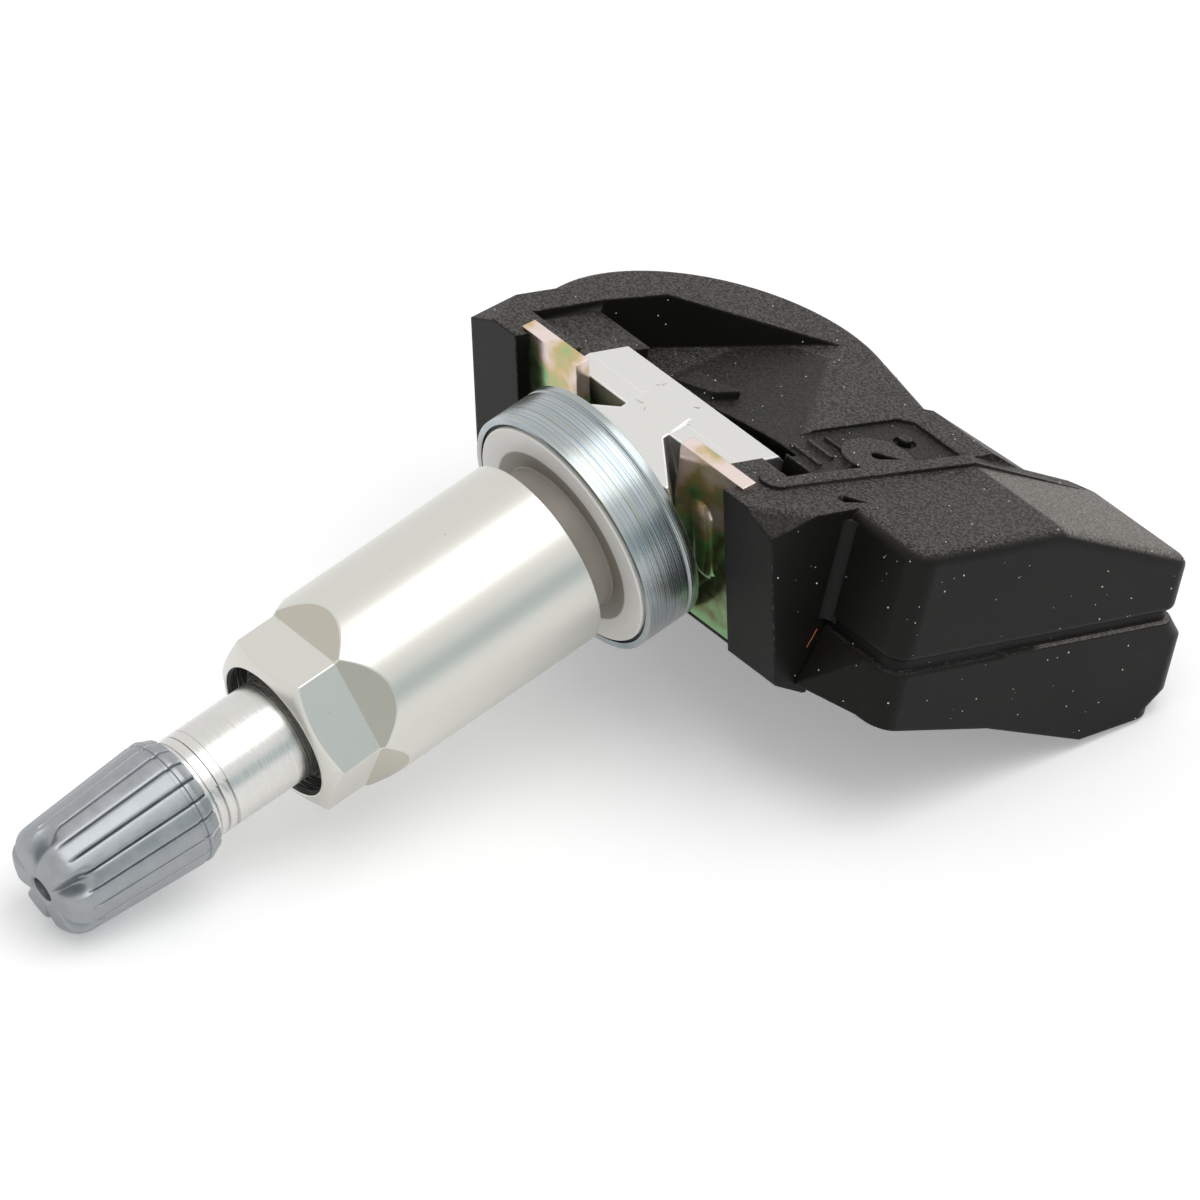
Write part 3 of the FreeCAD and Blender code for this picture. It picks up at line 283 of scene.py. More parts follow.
def rounded(obj, width_mm, angle=28.0):
    """Rounds the edges that are sharper than an angle in degrees, with flat faces flat in the light."""
    bevel = obj.modifiers.new("bevel", "BEVEL")
    bevel.width = width_mm * MM
    bevel.segments = 2
    bevel.limit_method = "ANGLE"
    bevel.angle_limit = math.radians(angle)
    return smoothed(plain(obj), 50.0)


def smoothed(obj, angle):
    """Smooths the light over every edge that is flatter than an angle in degrees."""
    obj.data.shade_smooth()
    obj.data.set_sharp_from_angle(angle=math.radians(angle))
    weighted = obj.modifiers.new("weighted", "WEIGHTED_NORMAL")
    weighted.keep_sharp = True
    return plain(obj)


def dressed(obj, material, slot, body, *nodes):
    """Gives a piece its material, its body and the nodes that it stands for. The slot is not used."""
    obj.data.materials.clear()
    obj.data.materials.append(material)
    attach(obj, body)
    if nodes:
        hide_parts(*nodes)


def repaint(node, material):
    slots = frame["nodes"][node].data.materials
    slots.clear()
    slots.append(material)


# Geometry node trees

def growing_tree(name, sockets):
    """An empty tree with named inputs; sockets holds (name, type, default)."""
    tree = bpy.data.node_groups.new(name, "GeometryNodeTree")
    tree.interface.new_socket("Geometry", in_out="INPUT", socket_type="NodeSocketGeometry")
    for label, kind, default in sockets:
        socket = tree.interface.new_socket(label, in_out="INPUT", socket_type=kind)
        if default is not None:
            socket.default_value = default
    tree.interface.new_socket("Geometry", in_out="OUTPUT", socket_type="NodeSocketGeometry")
    return tree, tree.nodes.new("NodeGroupInput").outputs


def grow(obj, tree, **values):
    """Runs a tree on an object with these inputs and keeps the plain mesh."""
    modifier = obj.modifiers.new(tree.name, "NODES")
    modifier.node_group = tree
    for item in tree.interface.items_tree:
        key = item.name.lower().replace(" ", "_")
        if item.in_out == "INPUT" and key in values:
            modifier[item.identifier] = values[key]
    plain(obj)


def end_tree(tree, geometry, material):
    """Realises what a tree made, gives it its material and ends the tree."""
    real = add(tree, "GeometryNodeRealizeInstances", {"Geometry": geometry})
    painted = add(tree, "GeometryNodeSetMaterial", {"Geometry": real, "Material": material})
    add(tree, "NodeGroupOutput", {"Geometry": painted})


def thread_tree():
    """A wire wound round z, as the turns of a thread."""
    tree, given = growing_tree("wound_wire", [
        ("Radius", "NodeSocketFloat", 0.001), ("Turns", "NodeSocketFloat", 4.0),
        ("Height", "NodeSocketFloat", 0.004), ("Wire", "NodeSocketFloat", 0.0002),
        ("Steps", "NodeSocketInt", 24), ("Sides", "NodeSocketInt", 6),
        ("Material", "NodeSocketMaterial", None)])
    spiral = add(tree, "GeometryNodeCurveSpiral", {
        "Resolution": given["Steps"], "Rotations": given["Turns"], "Start Radius": given["Radius"],
        "End Radius": given["Radius"], "Height": given["Height"]})
    profile = add(tree, "GeometryNodeCurvePrimitiveCircle", {
        "Resolution": given["Sides"], "Radius": given["Wire"]})
    tube = add(tree, "GeometryNodeCurveToMesh", {
        "Curve": spiral, "Profile Curve": profile, "Fill Caps": True})
    end_tree(tree, add(tree, "GeometryNodeSetShadeSmooth", {"Geometry": tube}), given["Material"])
    return tree


def scatter_tree():
    """Small grains strewn on the faces that look one way."""
    tree, given = growing_tree("strewn_grains", [
        ("Density", "NodeSocketFloat", 1e5), ("Size", "NodeSocketFloat", 0.00005),
        ("Seed", "NodeSocketInt", 1), ("Up", "NodeSocketVector", None),
        ("Material", "NodeSocketMaterial", None)])
    normal = add(tree, "GeometryNodeInputNormal")
    facing = add(tree, "ShaderNodeVectorMath", {0: normal, 1: given["Up"]}, operation="DOT_PRODUCT")
    seen = add(tree, "FunctionNodeCompare", {0: facing, 1: 0.2})
    points = add(tree, "GeometryNodeDistributePointsOnFaces", {
        "Mesh": given["Geometry"], "Selection": seen, "Density": given["Density"], "Seed": given["Seed"]})
    grain = add(tree, "GeometryNodeMeshIcoSphere", {"Radius": given["Size"], "Subdivisions": 1})
    scale = add(tree, "FunctionNodeRandomValue", {2: 0.25, 3: 1.0, "Seed": given["Seed"]})
    strewn = add(tree, "GeometryNodeInstanceOnPoints", {
        "Points": points, "Instance": grain, "Rotation": points.outputs["Rotation"], "Scale": scale})
    end_tree(tree, strewn, given["Material"])
    return tree


def cap_tree():
    """Flat lands with narrow grooves round the cap, and wide flutes between lobes at its closed end."""
    tree, given = growing_tree("ribbed_cap", [
        ("Lands", "NodeSocketInt", 20), ("Groove Depth", "NodeSocketFloat", 0.0002),
        ("Groove Share", "NodeSocketFloat", 0.1), ("Lobes", "NodeSocketInt", 6),
        ("Flute Depth", "NodeSocketFloat", 0.0008), ("Flute Start", "NodeSocketFloat", 0.004),
        ("Flute End", "NodeSocketFloat", 0.001), ("Groove Start", "NodeSocketFloat", 0.004),
        ("Bore", "NodeSocketFloat", 0.004), ("Bore End", "NodeSocketFloat", 0.0095),
        ("Dimple", "NodeSocketFloat", 0.0012), ("Material", "NodeSocketMaterial", None)])
    position = add(tree, "GeometryNodeInputPosition")
    place = add(tree, "ShaderNodeSeparateXYZ", {"Vector": position}).outputs
    sideways = add(tree, "ShaderNodeCombineXYZ", {"X": place["X"], "Y": place["Y"]})
    radius = add(tree, "ShaderNodeVectorMath", {0: sideways}, operation="LENGTH")
    angle = add(tree, "ShaderNodeMath", {0: place["Y"], 1: place["X"]}, operation="ARCTAN2")
    turn = add(tree, "ShaderNodeMath", {0: angle, 1: 2 * math.pi}, operation="DIVIDE")

    # The place in a copy runs from nought at its borders to a half in its middle. A groove lies along
    # the borders of each land, and a flute along the middle of its copy, between two lobes.
    border, flute_side, middle = 0.0, 0.26, 0.5
    cuts = []
    for copies, none_at, full_at, along_from, along_to, depth in (
            ("Lands", given["Groove Share"], border, "Flute End", "Groove Start", "Groove Depth"),
            ("Lobes", flute_side, middle, "Flute Start", "Flute End", "Flute Depth")):
        copy = add(tree, "ShaderNodeMath", {0: turn, 1: given[copies]}, operation="MULTIPLY")
        inside = add(tree, "ShaderNodeMath", {0: copy, 1: middle}, operation="PINGPONG")
        across = add(tree, "ShaderNodeMapRange", {
            "Value": inside, "From Min": none_at, "From Max": full_at}, **SOFT)
        along = add(tree, "ShaderNodeMapRange", {
            "Value": place["Z"], "From Min": given[along_from], "From Max": given[along_to]}, **SOFT)
        hollow = add(tree, "ShaderNodeMath", {0: across, 1: along}, operation="MULTIPLY")
        cuts.append(add(tree, "ShaderNodeMath", {0: hollow, 1: given[depth]}, operation="MULTIPLY"))
    both = add(tree, "ShaderNodeMath", {0: cuts[0], 1: cuts[1]}, operation="ADD")

    # The bore's wall and the dimple in the closed end stay round.
    past_bore = add(tree, "ShaderNodeMath", {0: radius, 1: given["Bore"]}, operation="GREATER_THAN")
    past_dimple = add(tree, "ShaderNodeMath", {0: radius, 1: given["Dimple"]}, operation="GREATER_THAN")
    past_end = add(tree, "ShaderNodeMath", {0: place["Z"], 1: given["Bore End"]}, operation="GREATER_THAN")
    in_end = add(tree, "ShaderNodeMath", {0: past_end, 1: past_dimple}, operation="MULTIPLY")
    outer = add(tree, "ShaderNodeMath", {0: past_bore, 1: in_end}, operation="MAXIMUM")
    cut = add(tree, "ShaderNodeMath", {0: outer, 1: both}, operation="MULTIPLY")

    outwards = add(tree, "ShaderNodeVectorMath", {0: sideways}, operation="NORMALIZE")
    inset = add(tree, "ShaderNodeVectorMath", {0: outwards, "Scale": cut}, operation="SCALE")
    moved = add(tree, "ShaderNodeVectorMath", {0: position, 1: inset}, operation="SUBTRACT")
    ribbed = add(tree, "GeometryNodeSetPosition", {"Geometry": given["Geometry"], "Position": moved})
    end_tree(tree, ribbed, given["Material"])
    return tree


# Materials. A noise's scale is written as one over the size of its lumps in millimetres.

def moulded_nylon(look):
    """Glass-filled nylon from a spark-eroded mould: charcoal, grained on top, satin on its sides. The faces that
    look up are painted lighter, as painted light from above.
    """
    # The mould's grain is about 0.1 mm and is drawn twice as coarse, as it needs to be to show.
    material = blank_material("moulded_nylon")
    tree = material.node_tree
    place = local_mm(tree, CASE)
    axes = add(tree, "ShaderNodeSeparateXYZ", {"Vector": place}).outputs
    facing = add(tree, "ShaderNodeTexCoord").outputs["Normal"]
    upwards = CASE.to_3x3() @ Vector((0, 0, 1))
    up = add(tree, "ShaderNodeVectorMath", {0: facing, 1: upwards}, operation="DOT_PRODUCT")
    grain = add(tree, "ShaderNodeTexNoise", {
        "Vector": place, "Scale": 1 / (look.grain_size / MM), "Detail": 3.0, "Roughness": 0.6})
    clouds = add(tree, "ShaderNodeTexNoise", {"Vector": place, "Scale": 1 / 5.0, "Detail": 3.0})
    worn = add(tree, "ShaderNodeTexNoise", {"Vector": place, "Scale": 1 / 0.5})

    # Where each part of the finish begins and ends. The places are in the casing's own millimetres: past the side
    # and the back border lies the sloping facet, and the sunk deck, painted dark as shade in its recess, ends at
    # its rim.
    masks = {}
    for name, value, low, high, at_low, at_high in (
            ("top", up, 0.5, 0.95, 0.0, 1.0),
            ("speckle", grain, 0.38, 0.64, 0.0, 1.0),
            ("patchy", worn, 0.5, 0.7, 0.0, 0.4),
            ("facet_side", axes["X"], 13.9, 14.4, 0.0, 1.0),
            ("facet_back", axes["Y"], 14.2, 15.0, 0.0, 1.0),
            ("deck_back", axes["Y"], 14.6, 15.0, 1.0, 0.0),
            ("deck_side", axes["X"], -9.5, -8.5, 0.0, 1.0),
            ("deck_floor", axes["Z"], 4.15, 4.35, 0.62, 0.0)):
        masks[name] = add(tree, "ShaderNodeMapRange", {
            "Value": value, "From Min": low, "From Max": high, "To Min": at_low, "To Max": at_high}, **SOFT)
    masks["edge"] = rubbed_edge_highlight(tree, 0.12)
    for name, one, two in (
            ("facet_part", "facet_side", "facet_back"), ("facet", "facet_part", "top"),
            ("deck_part", "deck_back", "deck_side"), ("deck", "deck_part", "deck_floor"),
            ("rubbed_highlight", "edge", "patchy")):
        masks[name] = add(tree, "ShaderNodeMath", {0: masks[one], 1: masks[two]}, operation="MULTIPLY")

    side = add(tree, "ShaderNodeMix", {FACTOR: clouds, ONE: look.side_dark, TWO: look.side_light}, **COLOURS)
    level = add(tree, "ShaderNodeMix", {
        FACTOR: masks["speckle"], ONE: look.top_dark, TWO: look.top_light}, **COLOURS)
    sloping = add(tree, "ShaderNodeMix", {
        FACTOR: masks["speckle"], ONE: look.top_light, TWO: look.facet_light}, **COLOURS)
    # Painted shade: the floor of the sunk deck takes the sides' dark colour, as shade in the recess.
    base = add(tree, "ShaderNodeMix", {FACTOR: masks["deck"], ONE: level, TWO: look.side_light}, **COLOURS)
    # Painted light: the faces that look up take the lighter top colours, and the sides keep the dark side colours.
    base = add(tree, "ShaderNodeMix", {FACTOR: masks["top"], ONE: side, TWO: base}, **COLOURS)
    # The sloping facet takes a lighter, speckled colour than the rest of the top.
    base = add(tree, "ShaderNodeMix", {FACTOR: masks["facet"], ONE: base, TWO: sloping}, **COLOURS)
    # Painted highlight along the casing's edges, broken in patches like wear.
    base = add(tree, "ShaderNodeMix", {FACTOR: masks["rubbed_highlight"], ONE: base, TWO: look.facet_light}, **COLOURS)

    rougher_top = 0.14
    rough = add(tree, "ShaderNodeMath", {
        0: masks["top"], 1: rougher_top, 2: look.roughness}, operation="MULTIPLY_ADD")
    share = add(tree, "ShaderNodeMapRange", {"Value": masks["top"], "To Min": 0.25}, **SOFT)
    relief = add(tree, "ShaderNodeMath", {0: grain, 1: share}, operation="MULTIPLY")
    soft_edge = add(tree, "ShaderNodeBevel", {"Radius": 0.30 * MM}, samples=6)
    normal = add(tree, "ShaderNodeBump", {"Height": relief, "Distance": 0.05 * MM, "Normal": soft_edge})
    shader = add(tree, "ShaderNodeBsdfPrincipled", {
        "Base Color": base, "Roughness": rough, "IOR": 1.53, "Specular IOR Level": 0.12, "Normal": normal})
    add(tree, "ShaderNodeOutputMaterial", {"Surface": shader})
    return material


def chromated_zinc(look):
    """Yellow chromate over zinc on pressed steel: an oil-like film of olive, green, gold and pink."""
    material = blank_material("chromated_zinc")
    tree = material.node_tree
    place = local_mm(tree, NOSE)
    height = add(tree, "ShaderNodeSeparateXYZ", {"Vector": place}).outputs["Z"]
    cloud = add(tree, "ShaderNodeTexNoise", {"Vector": place, "Scale": 1 / 3.2, "Roughness": 0.45})
    drift_per_mm = 0.035
    drift = add(tree, "ShaderNodeMath", {0: height, 1: drift_per_mm, 2: cloud}, operation="MULTIPLY_ADD")
    film = add(tree, "ShaderNodeValToRGB", {"Fac": drift}, stops=[
        (0.22, look.green), (0.38, look.olive), (0.50, look.green), (0.60, look.gold), (0.72, look.pink),
        (0.95, look.pink)])
    lines = add(tree, "ShaderNodeTexNoise", {"Vector": place, "Scale": 1 / 0.25})
    soft_edge = add(tree, "ShaderNodeBevel", {"Radius": 0.10 * MM}, samples=6)
    normal = add(tree, "ShaderNodeBump", {"Height": lines, "Distance": 0.004 * MM, "Normal": soft_edge})
    shader = add(tree, "ShaderNodeBsdfPrincipled", {
        "Base Color": film, "Metallic": 0.9, "Roughness": 0.22, "Normal": normal})
    add(tree, "ShaderNodeOutputMaterial", {"Surface": shader})
    return material


def turned_aluminium(look):
    """Turned aluminium: near white, with fine rings left by the tool."""
    # Real rings lie about 0.1 mm apart. They are drawn as coarse as they need to be to show.
    material = blank_material("turned_aluminium")
    tree = material.node_tree
    place = local_mm(tree, STEM)
    rings = lathe_lines(tree, place, 0.22)
    wear = add(tree, "ShaderNodeTexNoise", {"Vector": place, "Scale": 1 / 2.5, "Detail": 4.0})
    base = add(tree, "ShaderNodeMix", {
        FACTOR: wear, ONE: look.aluminium_dark, TWO: look.aluminium}, **COLOURS)
    rough = add(tree, "ShaderNodeMapRange", {
        "Value": rings, "From Min": 0.3, "From Max": 0.7, "To Min": 0.22, "To Max": 0.34}, **SOFT)
    normal = add(tree, "ShaderNodeBump", {"Height": rings, "Distance": 0.006 * MM})
    shader = add(tree, "ShaderNodeBsdfPrincipled", {
        "Base Color": base, "Metallic": 1.0, "Roughness": rough, "Normal": normal})
    add(tree, "ShaderNodeOutputMaterial", {"Surface": shader})
    return material


def tumbled_aluminium(look):
    """The forged head, tumbled bright: smooth, with painted highlights along its edges, partly real rubbed wear,
    and a few hairline scratches.
    """
    material = blank_material("tumbled_aluminium")
    tree = material.node_tree
    place = local_mm(tree, STEM)
    sway = add(tree, "ShaderNodeTexNoise", {"Vector": place, "Scale": 0.6, "Detail": 3.0}).outputs["Color"]
    warped = add(tree, "ShaderNodeVectorMath", {0: place, 1: sway}, operation="ADD")
    cells = add(tree, "ShaderNodeTexVoronoi", {"Vector": warped, "Scale": 0.34}, feature="DISTANCE_TO_EDGE")
    breaks = add(tree, "ShaderNodeTexNoise", {"Vector": place, "Scale": 1 / 1.1})
    scratch_width, broken_share = 0.012, 0.56
    scratch = add(tree, "ShaderNodeMath", {0: cells, 1: scratch_width}, operation="LESS_THAN")
    broken = add(tree, "ShaderNodeMath", {0: breaks, 1: broken_share}, operation="GREATER_THAN")
    scuff_place, scuff_core, scuff_end = (-0.5, 4.6, -11.8), 2.0, 3.5
    from_scuff = add(tree, "ShaderNodeVectorMath", {0: place, 1: scuff_place}, operation="DISTANCE")
    scuffed = add(tree, "ShaderNodeMapRange", {
        "Value": from_scuff, "From Min": scuff_core, "From Max": scuff_end, "To Min": 1.0, "To Max": 0.0},
        **SOFT)
    hair = add(tree, "ShaderNodeMath", {0: scratch, 1: broken}, operation="MULTIPLY")
    hair = add(tree, "ShaderNodeMath", {0: hair, 1: scuffed}, operation="MULTIPLY")
    base = add(tree, "ShaderNodeMix", {FACTOR: hair, ONE: look.aluminium, TWO: look.scratch}, **COLOURS)
    # Painted highlight: the head's sharp edges turn white, partly as bare rubbed metal.
    base = add(tree, "ShaderNodeMix", {
        FACTOR: rubbed_edge_highlight(tree, 0.30), ONE: base, TWO: look.rubbed_highlight}, **COLOURS)
    lumps = add(tree, "ShaderNodeTexNoise", {"Vector": place, "Scale": 1 / 0.8, "Detail": 3.0})
    soft_edge = add(tree, "ShaderNodeBevel", {"Radius": 0.22 * MM}, samples=6)
    normal = add(tree, "ShaderNodeBump", {"Height": lumps, "Distance": 0.01 * MM, "Normal": soft_edge})
    shader = add(tree, "ShaderNodeBsdfPrincipled", {
        "Base Color": base, "Metallic": 0.9, "Roughness": 0.33, "Normal": normal})
    add(tree, "ShaderNodeOutputMaterial", {"Surface": shader})
    return material


def satin_anodised(look, name, film_colour):
    """Satin anodised aluminium: a pale champagne film over fine turning, with painted highlights along its edges,
    partly real rubbed wear.
    """
    # The turning is about 0.05 mm apart. It is drawn as coarse as it needs to be to show.
    material = blank_material(name)
    tree = material.node_tree
    place = local_mm(tree, STEM)
    rings = lathe_lines(tree, place, 0.35)
    pits = add(tree, "ShaderNodeTexNoise", {
        "Vector": place, "Scale": 1 / 0.5, "Detail": 3.0, "Roughness": 0.7})
    speck = add(tree, "ShaderNodeMapRange", {"Value": pits, "From Min": 0.72, "From Max": 0.78}, **SOFT)
    base = add(tree, "ShaderNodeMix", {FACTOR: speck, ONE: film_colour, TWO: look.champagne_dark}, **COLOURS)
    # Painted highlight: the nut's sharp edges turn white, partly as bare rubbed metal.
    base = add(tree, "ShaderNodeMix", {
        FACTOR: rubbed_edge_highlight(tree, 0.12), ONE: base, TWO: look.rubbed_highlight}, **COLOURS)
    normal = add(tree, "ShaderNodeBump", {"Height": rings, "Distance": 0.0015 * MM})
    shader = add(tree, "ShaderNodeBsdfPrincipled", {
        "Base Color": base, "Metallic": 1.0, "Roughness": 0.30, "Normal": normal})
    add(tree, "ShaderNodeOutputMaterial", {"Surface": shader})
    return material


def blue_zinc(look):
    """Turned steel under passivated zinc: fine grey tool lines in a film from straw to pale blue."""
    material = blank_material("blue_zinc_steel")
    tree = material.node_tree
    place = local_mm(tree, STEM)
    rings = lathe_lines(tree, place, 0.11)
    long_round_the_ring = (0.12, 0.12, 6.0)
    stretched = add(tree, "ShaderNodeVectorMath", {0: place, 1: long_round_the_ring}, operation="MULTIPLY")
    streaks = add(tree, "ShaderNodeTexNoise", {"Vector": stretched, "Scale": 1.0})
    film = add(tree, "ShaderNodeValToRGB", {"Fac": streaks}, stops=[
        (0.30, look.zinc_blue), (0.48, look.zinc_pale), (0.62, look.zinc_straw), (0.8, look.zinc_pale)])
    lines = add(tree, "ShaderNodeMapRange", {"Value": rings, "From Min": 0.30, "From Max": 0.50}, **SOFT)
    base = add(tree, "ShaderNodeMix", {FACTOR: lines, ONE: look.zinc_dark, TWO: film}, **COLOURS)
    normal = add(tree, "ShaderNodeBump", {"Height": rings, "Distance": 0.012 * MM})
    shader = add(tree, "ShaderNodeBsdfPrincipled", {
        "Base Color": base, "Metallic": 1.0, "Roughness": 0.26, "Normal": normal})
    add(tree, "ShaderNodeOutputMaterial", {"Surface": shader})
    return material


def satin_nickel(look):
    """Dulled nickel plate on the collar: a warm pale satin with hardly a mirror, painted brown next to the nut as
    painted shade.
    """
    material = blank_material("satin_nickel")
    tree = material.node_tree
    place = local_mm(tree, STEM)
    cloud = add(tree, "ShaderNodeTexNoise", {"Vector": place, "Scale": 1 / 1.8, "Detail": 3.0})
    base = add(tree, "ShaderNodeMix", {FACTOR: cloud, ONE: look.nickel_dark, TWO: look.nickel}, **COLOURS)
    across = add(tree, "ShaderNodeVectorMath", {0: place, 1: (1.0, 1.0, 0.0)}, operation="MULTIPLY")
    radius = add(tree, "ShaderNodeVectorMath", {0: across}, operation="LENGTH")
    # Painted shade: inside this radius the collar's face next to the nut is painted brown.
    shade_until, unshaded_from = 6.75, 6.95
    unshaded = add(tree, "ShaderNodeMapRange", {
        "Value": radius, "From Min": shade_until, "From Max": unshaded_from}, **SOFT)
    base = add(tree, "ShaderNodeMix", {FACTOR: unshaded, ONE: look.nickel_painted_shade, TWO: base}, **COLOURS)
    grain = add(tree, "ShaderNodeTexNoise", {"Vector": place, "Scale": 1 / 0.12})
    normal = add(tree, "ShaderNodeBump", {"Height": grain, "Distance": 0.003 * MM})
    shader = add(tree, "ShaderNodeBsdfPrincipled", {
        "Base Color": base, "Metallic": 0.15, "Roughness": 0.45, "Normal": normal})
    add(tree, "ShaderNodeOutputMaterial", {"Surface": shader})
    return material


def cast_zinc(look):
    """Die-cast zinc under a grey plating: satin, in lighter and darker patches."""
    material = blank_material("plated_zinc_casting")
    tree = material.node_tree
    place = local_mm(tree, STEM)
    patches = add(tree, "ShaderNodeTexNoise", {
        "Vector": place, "Scale": 1 / 1.4, "Detail": 4.0, "Roughness": 0.6})
    base = add(tree, "ShaderNodeMix", {FACTOR: patches, ONE: look.cap_dark, TWO: look.cap_grey}, **COLOURS)
    rough = add(tree, "ShaderNodeMapRange", {
        "Value": patches, "From Min": 0.3, "From Max": 0.7, "To Min": 0.36, "To Max": 0.50}, **SOFT)
    skin = add(tree, "ShaderNodeTexNoise", {
        "Vector": place, "Scale": 1 / 0.3, "Detail": 4.0, "Roughness": 0.7})
    normal = add(tree, "ShaderNodeBump", {"Height": skin, "Distance": 0.012 * MM})
    shader = add(tree, "ShaderNodeBsdfPrincipled", {
        "Base Color": base, "Metallic": 1.0, "Roughness": rough, "Normal": normal})
    add(tree, "ShaderNodeOutputMaterial", {"Surface": shader})
    return material


def moulded_rubber(look):
    """Moulded rubber: near black and matte."""
    material = blank_material("moulded_rubber")
    tree = material.node_tree
    place = local_mm(tree, STEM)
    bloom = add(tree, "ShaderNodeTexNoise", {"Vector": place, "Scale": 1 / 0.8, "Detail": 3.0})
    base = add(tree, "ShaderNodeMix", {FACTOR: bloom, ONE: look.rubber, TWO: look.rubber_light}, **COLOURS)
    grain = add(tree, "ShaderNodeTexNoise", {"Vector": place, "Scale": 1 / 0.2})
    normal = add(tree, "ShaderNodeBump", {"Height": grain, "Distance": 0.01 * MM})
    shader = add(tree, "ShaderNodeBsdfPrincipled", {
        "Base Color": base, "Roughness": 0.62, "Normal": normal})
    add(tree, "ShaderNodeOutputMaterial", {"Surface": shader})
    return material


def plain_finish(name, shade, metallic, roughness):
    """A simple finish: its colour a little uneven, with a fine surface of its own."""
    grain_mm, patches_to_grain, darkest = 0.3, 6, 0.75
    material = blank_material(name)
    tree = material.node_tree
    place = local_mm(tree, CASE)
    patches = add(tree, "ShaderNodeTexNoise", {
        "Vector": place, "Scale": 1 / (grain_mm * patches_to_grain), "Detail": 3.0})
    darker = [channel * darkest for channel in shade[:3]] + [1.0]
    base = add(tree, "ShaderNodeMix", {FACTOR: patches, ONE: darker, TWO: shade}, **COLOURS)
    grain = add(tree, "ShaderNodeTexNoise", {"Vector": place, "Scale": 1 / grain_mm, "Detail": 3.0})
    normal = add(tree, "ShaderNodeBump", {"Height": grain, "Distance": 0.006 * MM})
    shader = add(tree, "ShaderNodeBsdfPrincipled", {
        "Base Color": base, "Metallic": metallic, "Roughness": roughness, "Normal": normal})
    add(tree, "ShaderNodeOutputMaterial", {"Surface": shader})
    return material


# Sizes and looks that a user would change

class CasingLook(bpy.types.PropertyGroup):
    side_dark: colour("Side, dark", "Moulded side in its darker patches", "100f0e")
    side_light: colour("Side, light", "Moulded side in its lighter patches", "1c1b19")
    # The top colours are painted lighter than the side colours, as painted light from above; their two tones are
    # the grain.
    top_dark: colour("Top, dark", "Grained top between its grains", "242220")
    top_light: colour("Top, light", "Grained top on its grains", "5a5652")
    # The facet colour is lighter than the top colours; the casing's painted edge highlights take it too.
    facet_light: colour("Facet", "Scuffed grain on the sloping facet", "8a8681")
    grain_size: length("Grain", "Distance between the grains of the moulded top", 0.20)
    roughness: number("Roughness", "Roughness of the moulded sides", 0.40)
    dust_density: number("Dust", "Specks to the square metre", 1.1e5)
    dust_size: length("Speck", "Radius of the largest speck", 0.080)
    dust: colour("Speck colour", "Pale dust", "dedbd5")
    tint: colour("Fleck colour", "Coloured fleck", "4f7f7c")
    fibre: colour("Fibre colour", "Stray fibre", "c0683a")


class PlateLook(bpy.types.PropertyGroup):
    olive: colour("Olive", "Chromate film, olive", "74734c")
    green: colour("Green", "Chromate film, green", "8fbb86")
    gold: colour("Gold", "Chromate film, gold", "cbb381")
    pink: colour("Pink", "Chromate film, pink", "e9d8d2")


class StemLook(bpy.types.PropertyGroup):
    aluminium: colour("Aluminium", "Turned aluminium", "dbdad6")
    aluminium_dark: colour("Aluminium, dark", "Turned aluminium, dull", "cbcac6")
    # The rubbed colour is a painted highlight along the edges, partly bare metal from wear.
    rubbed_highlight: colour("Rubbed edge", "Bare metal along a rubbed edge", "ffffff")
    scratch: colour("Scratch", "Hairline scratch", "8d8a86")
    zinc_dark: colour("Zinc, dark", "Passivated zinc in a tool line", "68727a")
    zinc_blue: colour("Zinc, blue", "Passivated zinc, blue", "909ca4")
    zinc_pale: colour("Zinc, pale", "Passivated zinc, pale", "b0b8bb")
    zinc_straw: colour("Zinc, straw", "Passivated zinc, straw", "a6a99f")
    nickel: colour("Nickel", "Nickel plate", "f0eeea")
    nickel_dark: colour("Nickel, dark", "Nickel plate, dull", "e8e6e1")
    # Painted shade on the collar's face next to the nut.
    nickel_painted_shade: colour("Nickel, brown", "Nickel plate that the nut has dulled", "969086")
    rubber: colour("Rubber", "Moulded rubber", "161616")
    rubber_light: colour("Rubber, light", "Moulded rubber, worn", "232323")
    champagne: colour("Anodised", "Anodised film", "d2d1ca")
    # A darker film painted on the facets behind the hexagon, as painted shade.
    champagne_facet: colour("Anodised facet", "Anodised film on the milled facets", "bab6aa")
    champagne_dark: colour("Anodised, dark", "Fine pits in the anodised film", "8d8a80")
    cap_grey: colour("Cap", "Plated cap", "aeb1b4")
    cap_dark: colour("Cap, dark", "Plated cap, dull", "878b8e")
    segments: count("Segments", "Steps round a turned piece", 160)


class RingSizes(bpy.types.PropertyGroup):
    back: length("Back", "From the collar's face to the ring's back", 4.60)
    front: length("Front", "From the collar's face to the ring's front", 0.15)
    radius: length("Radius", "Outside radius", 9.43)
    wall: length("Wall", "Thickness of the ring's wall", 0.48)
    floor: length("Floor", "Thickness of the ring's floor", 1.30)
    bore: length("Bore", "Radius of the hole on the stem", 4.65)
    collar: length("Collar", "Radius of the collar", 8.70)
    collar_thickness: length("Collar thickness", "Thickness of the collar", 1.10)
    spigot: length("Spigot", "Radius of the spigot", 5.55)
    spigot_length: length("Spigot length", "Length of the spigot", 2.35)
    sleeve_bore: length("Sleeve bore", "Radius of the hole through the collar", 5.00)


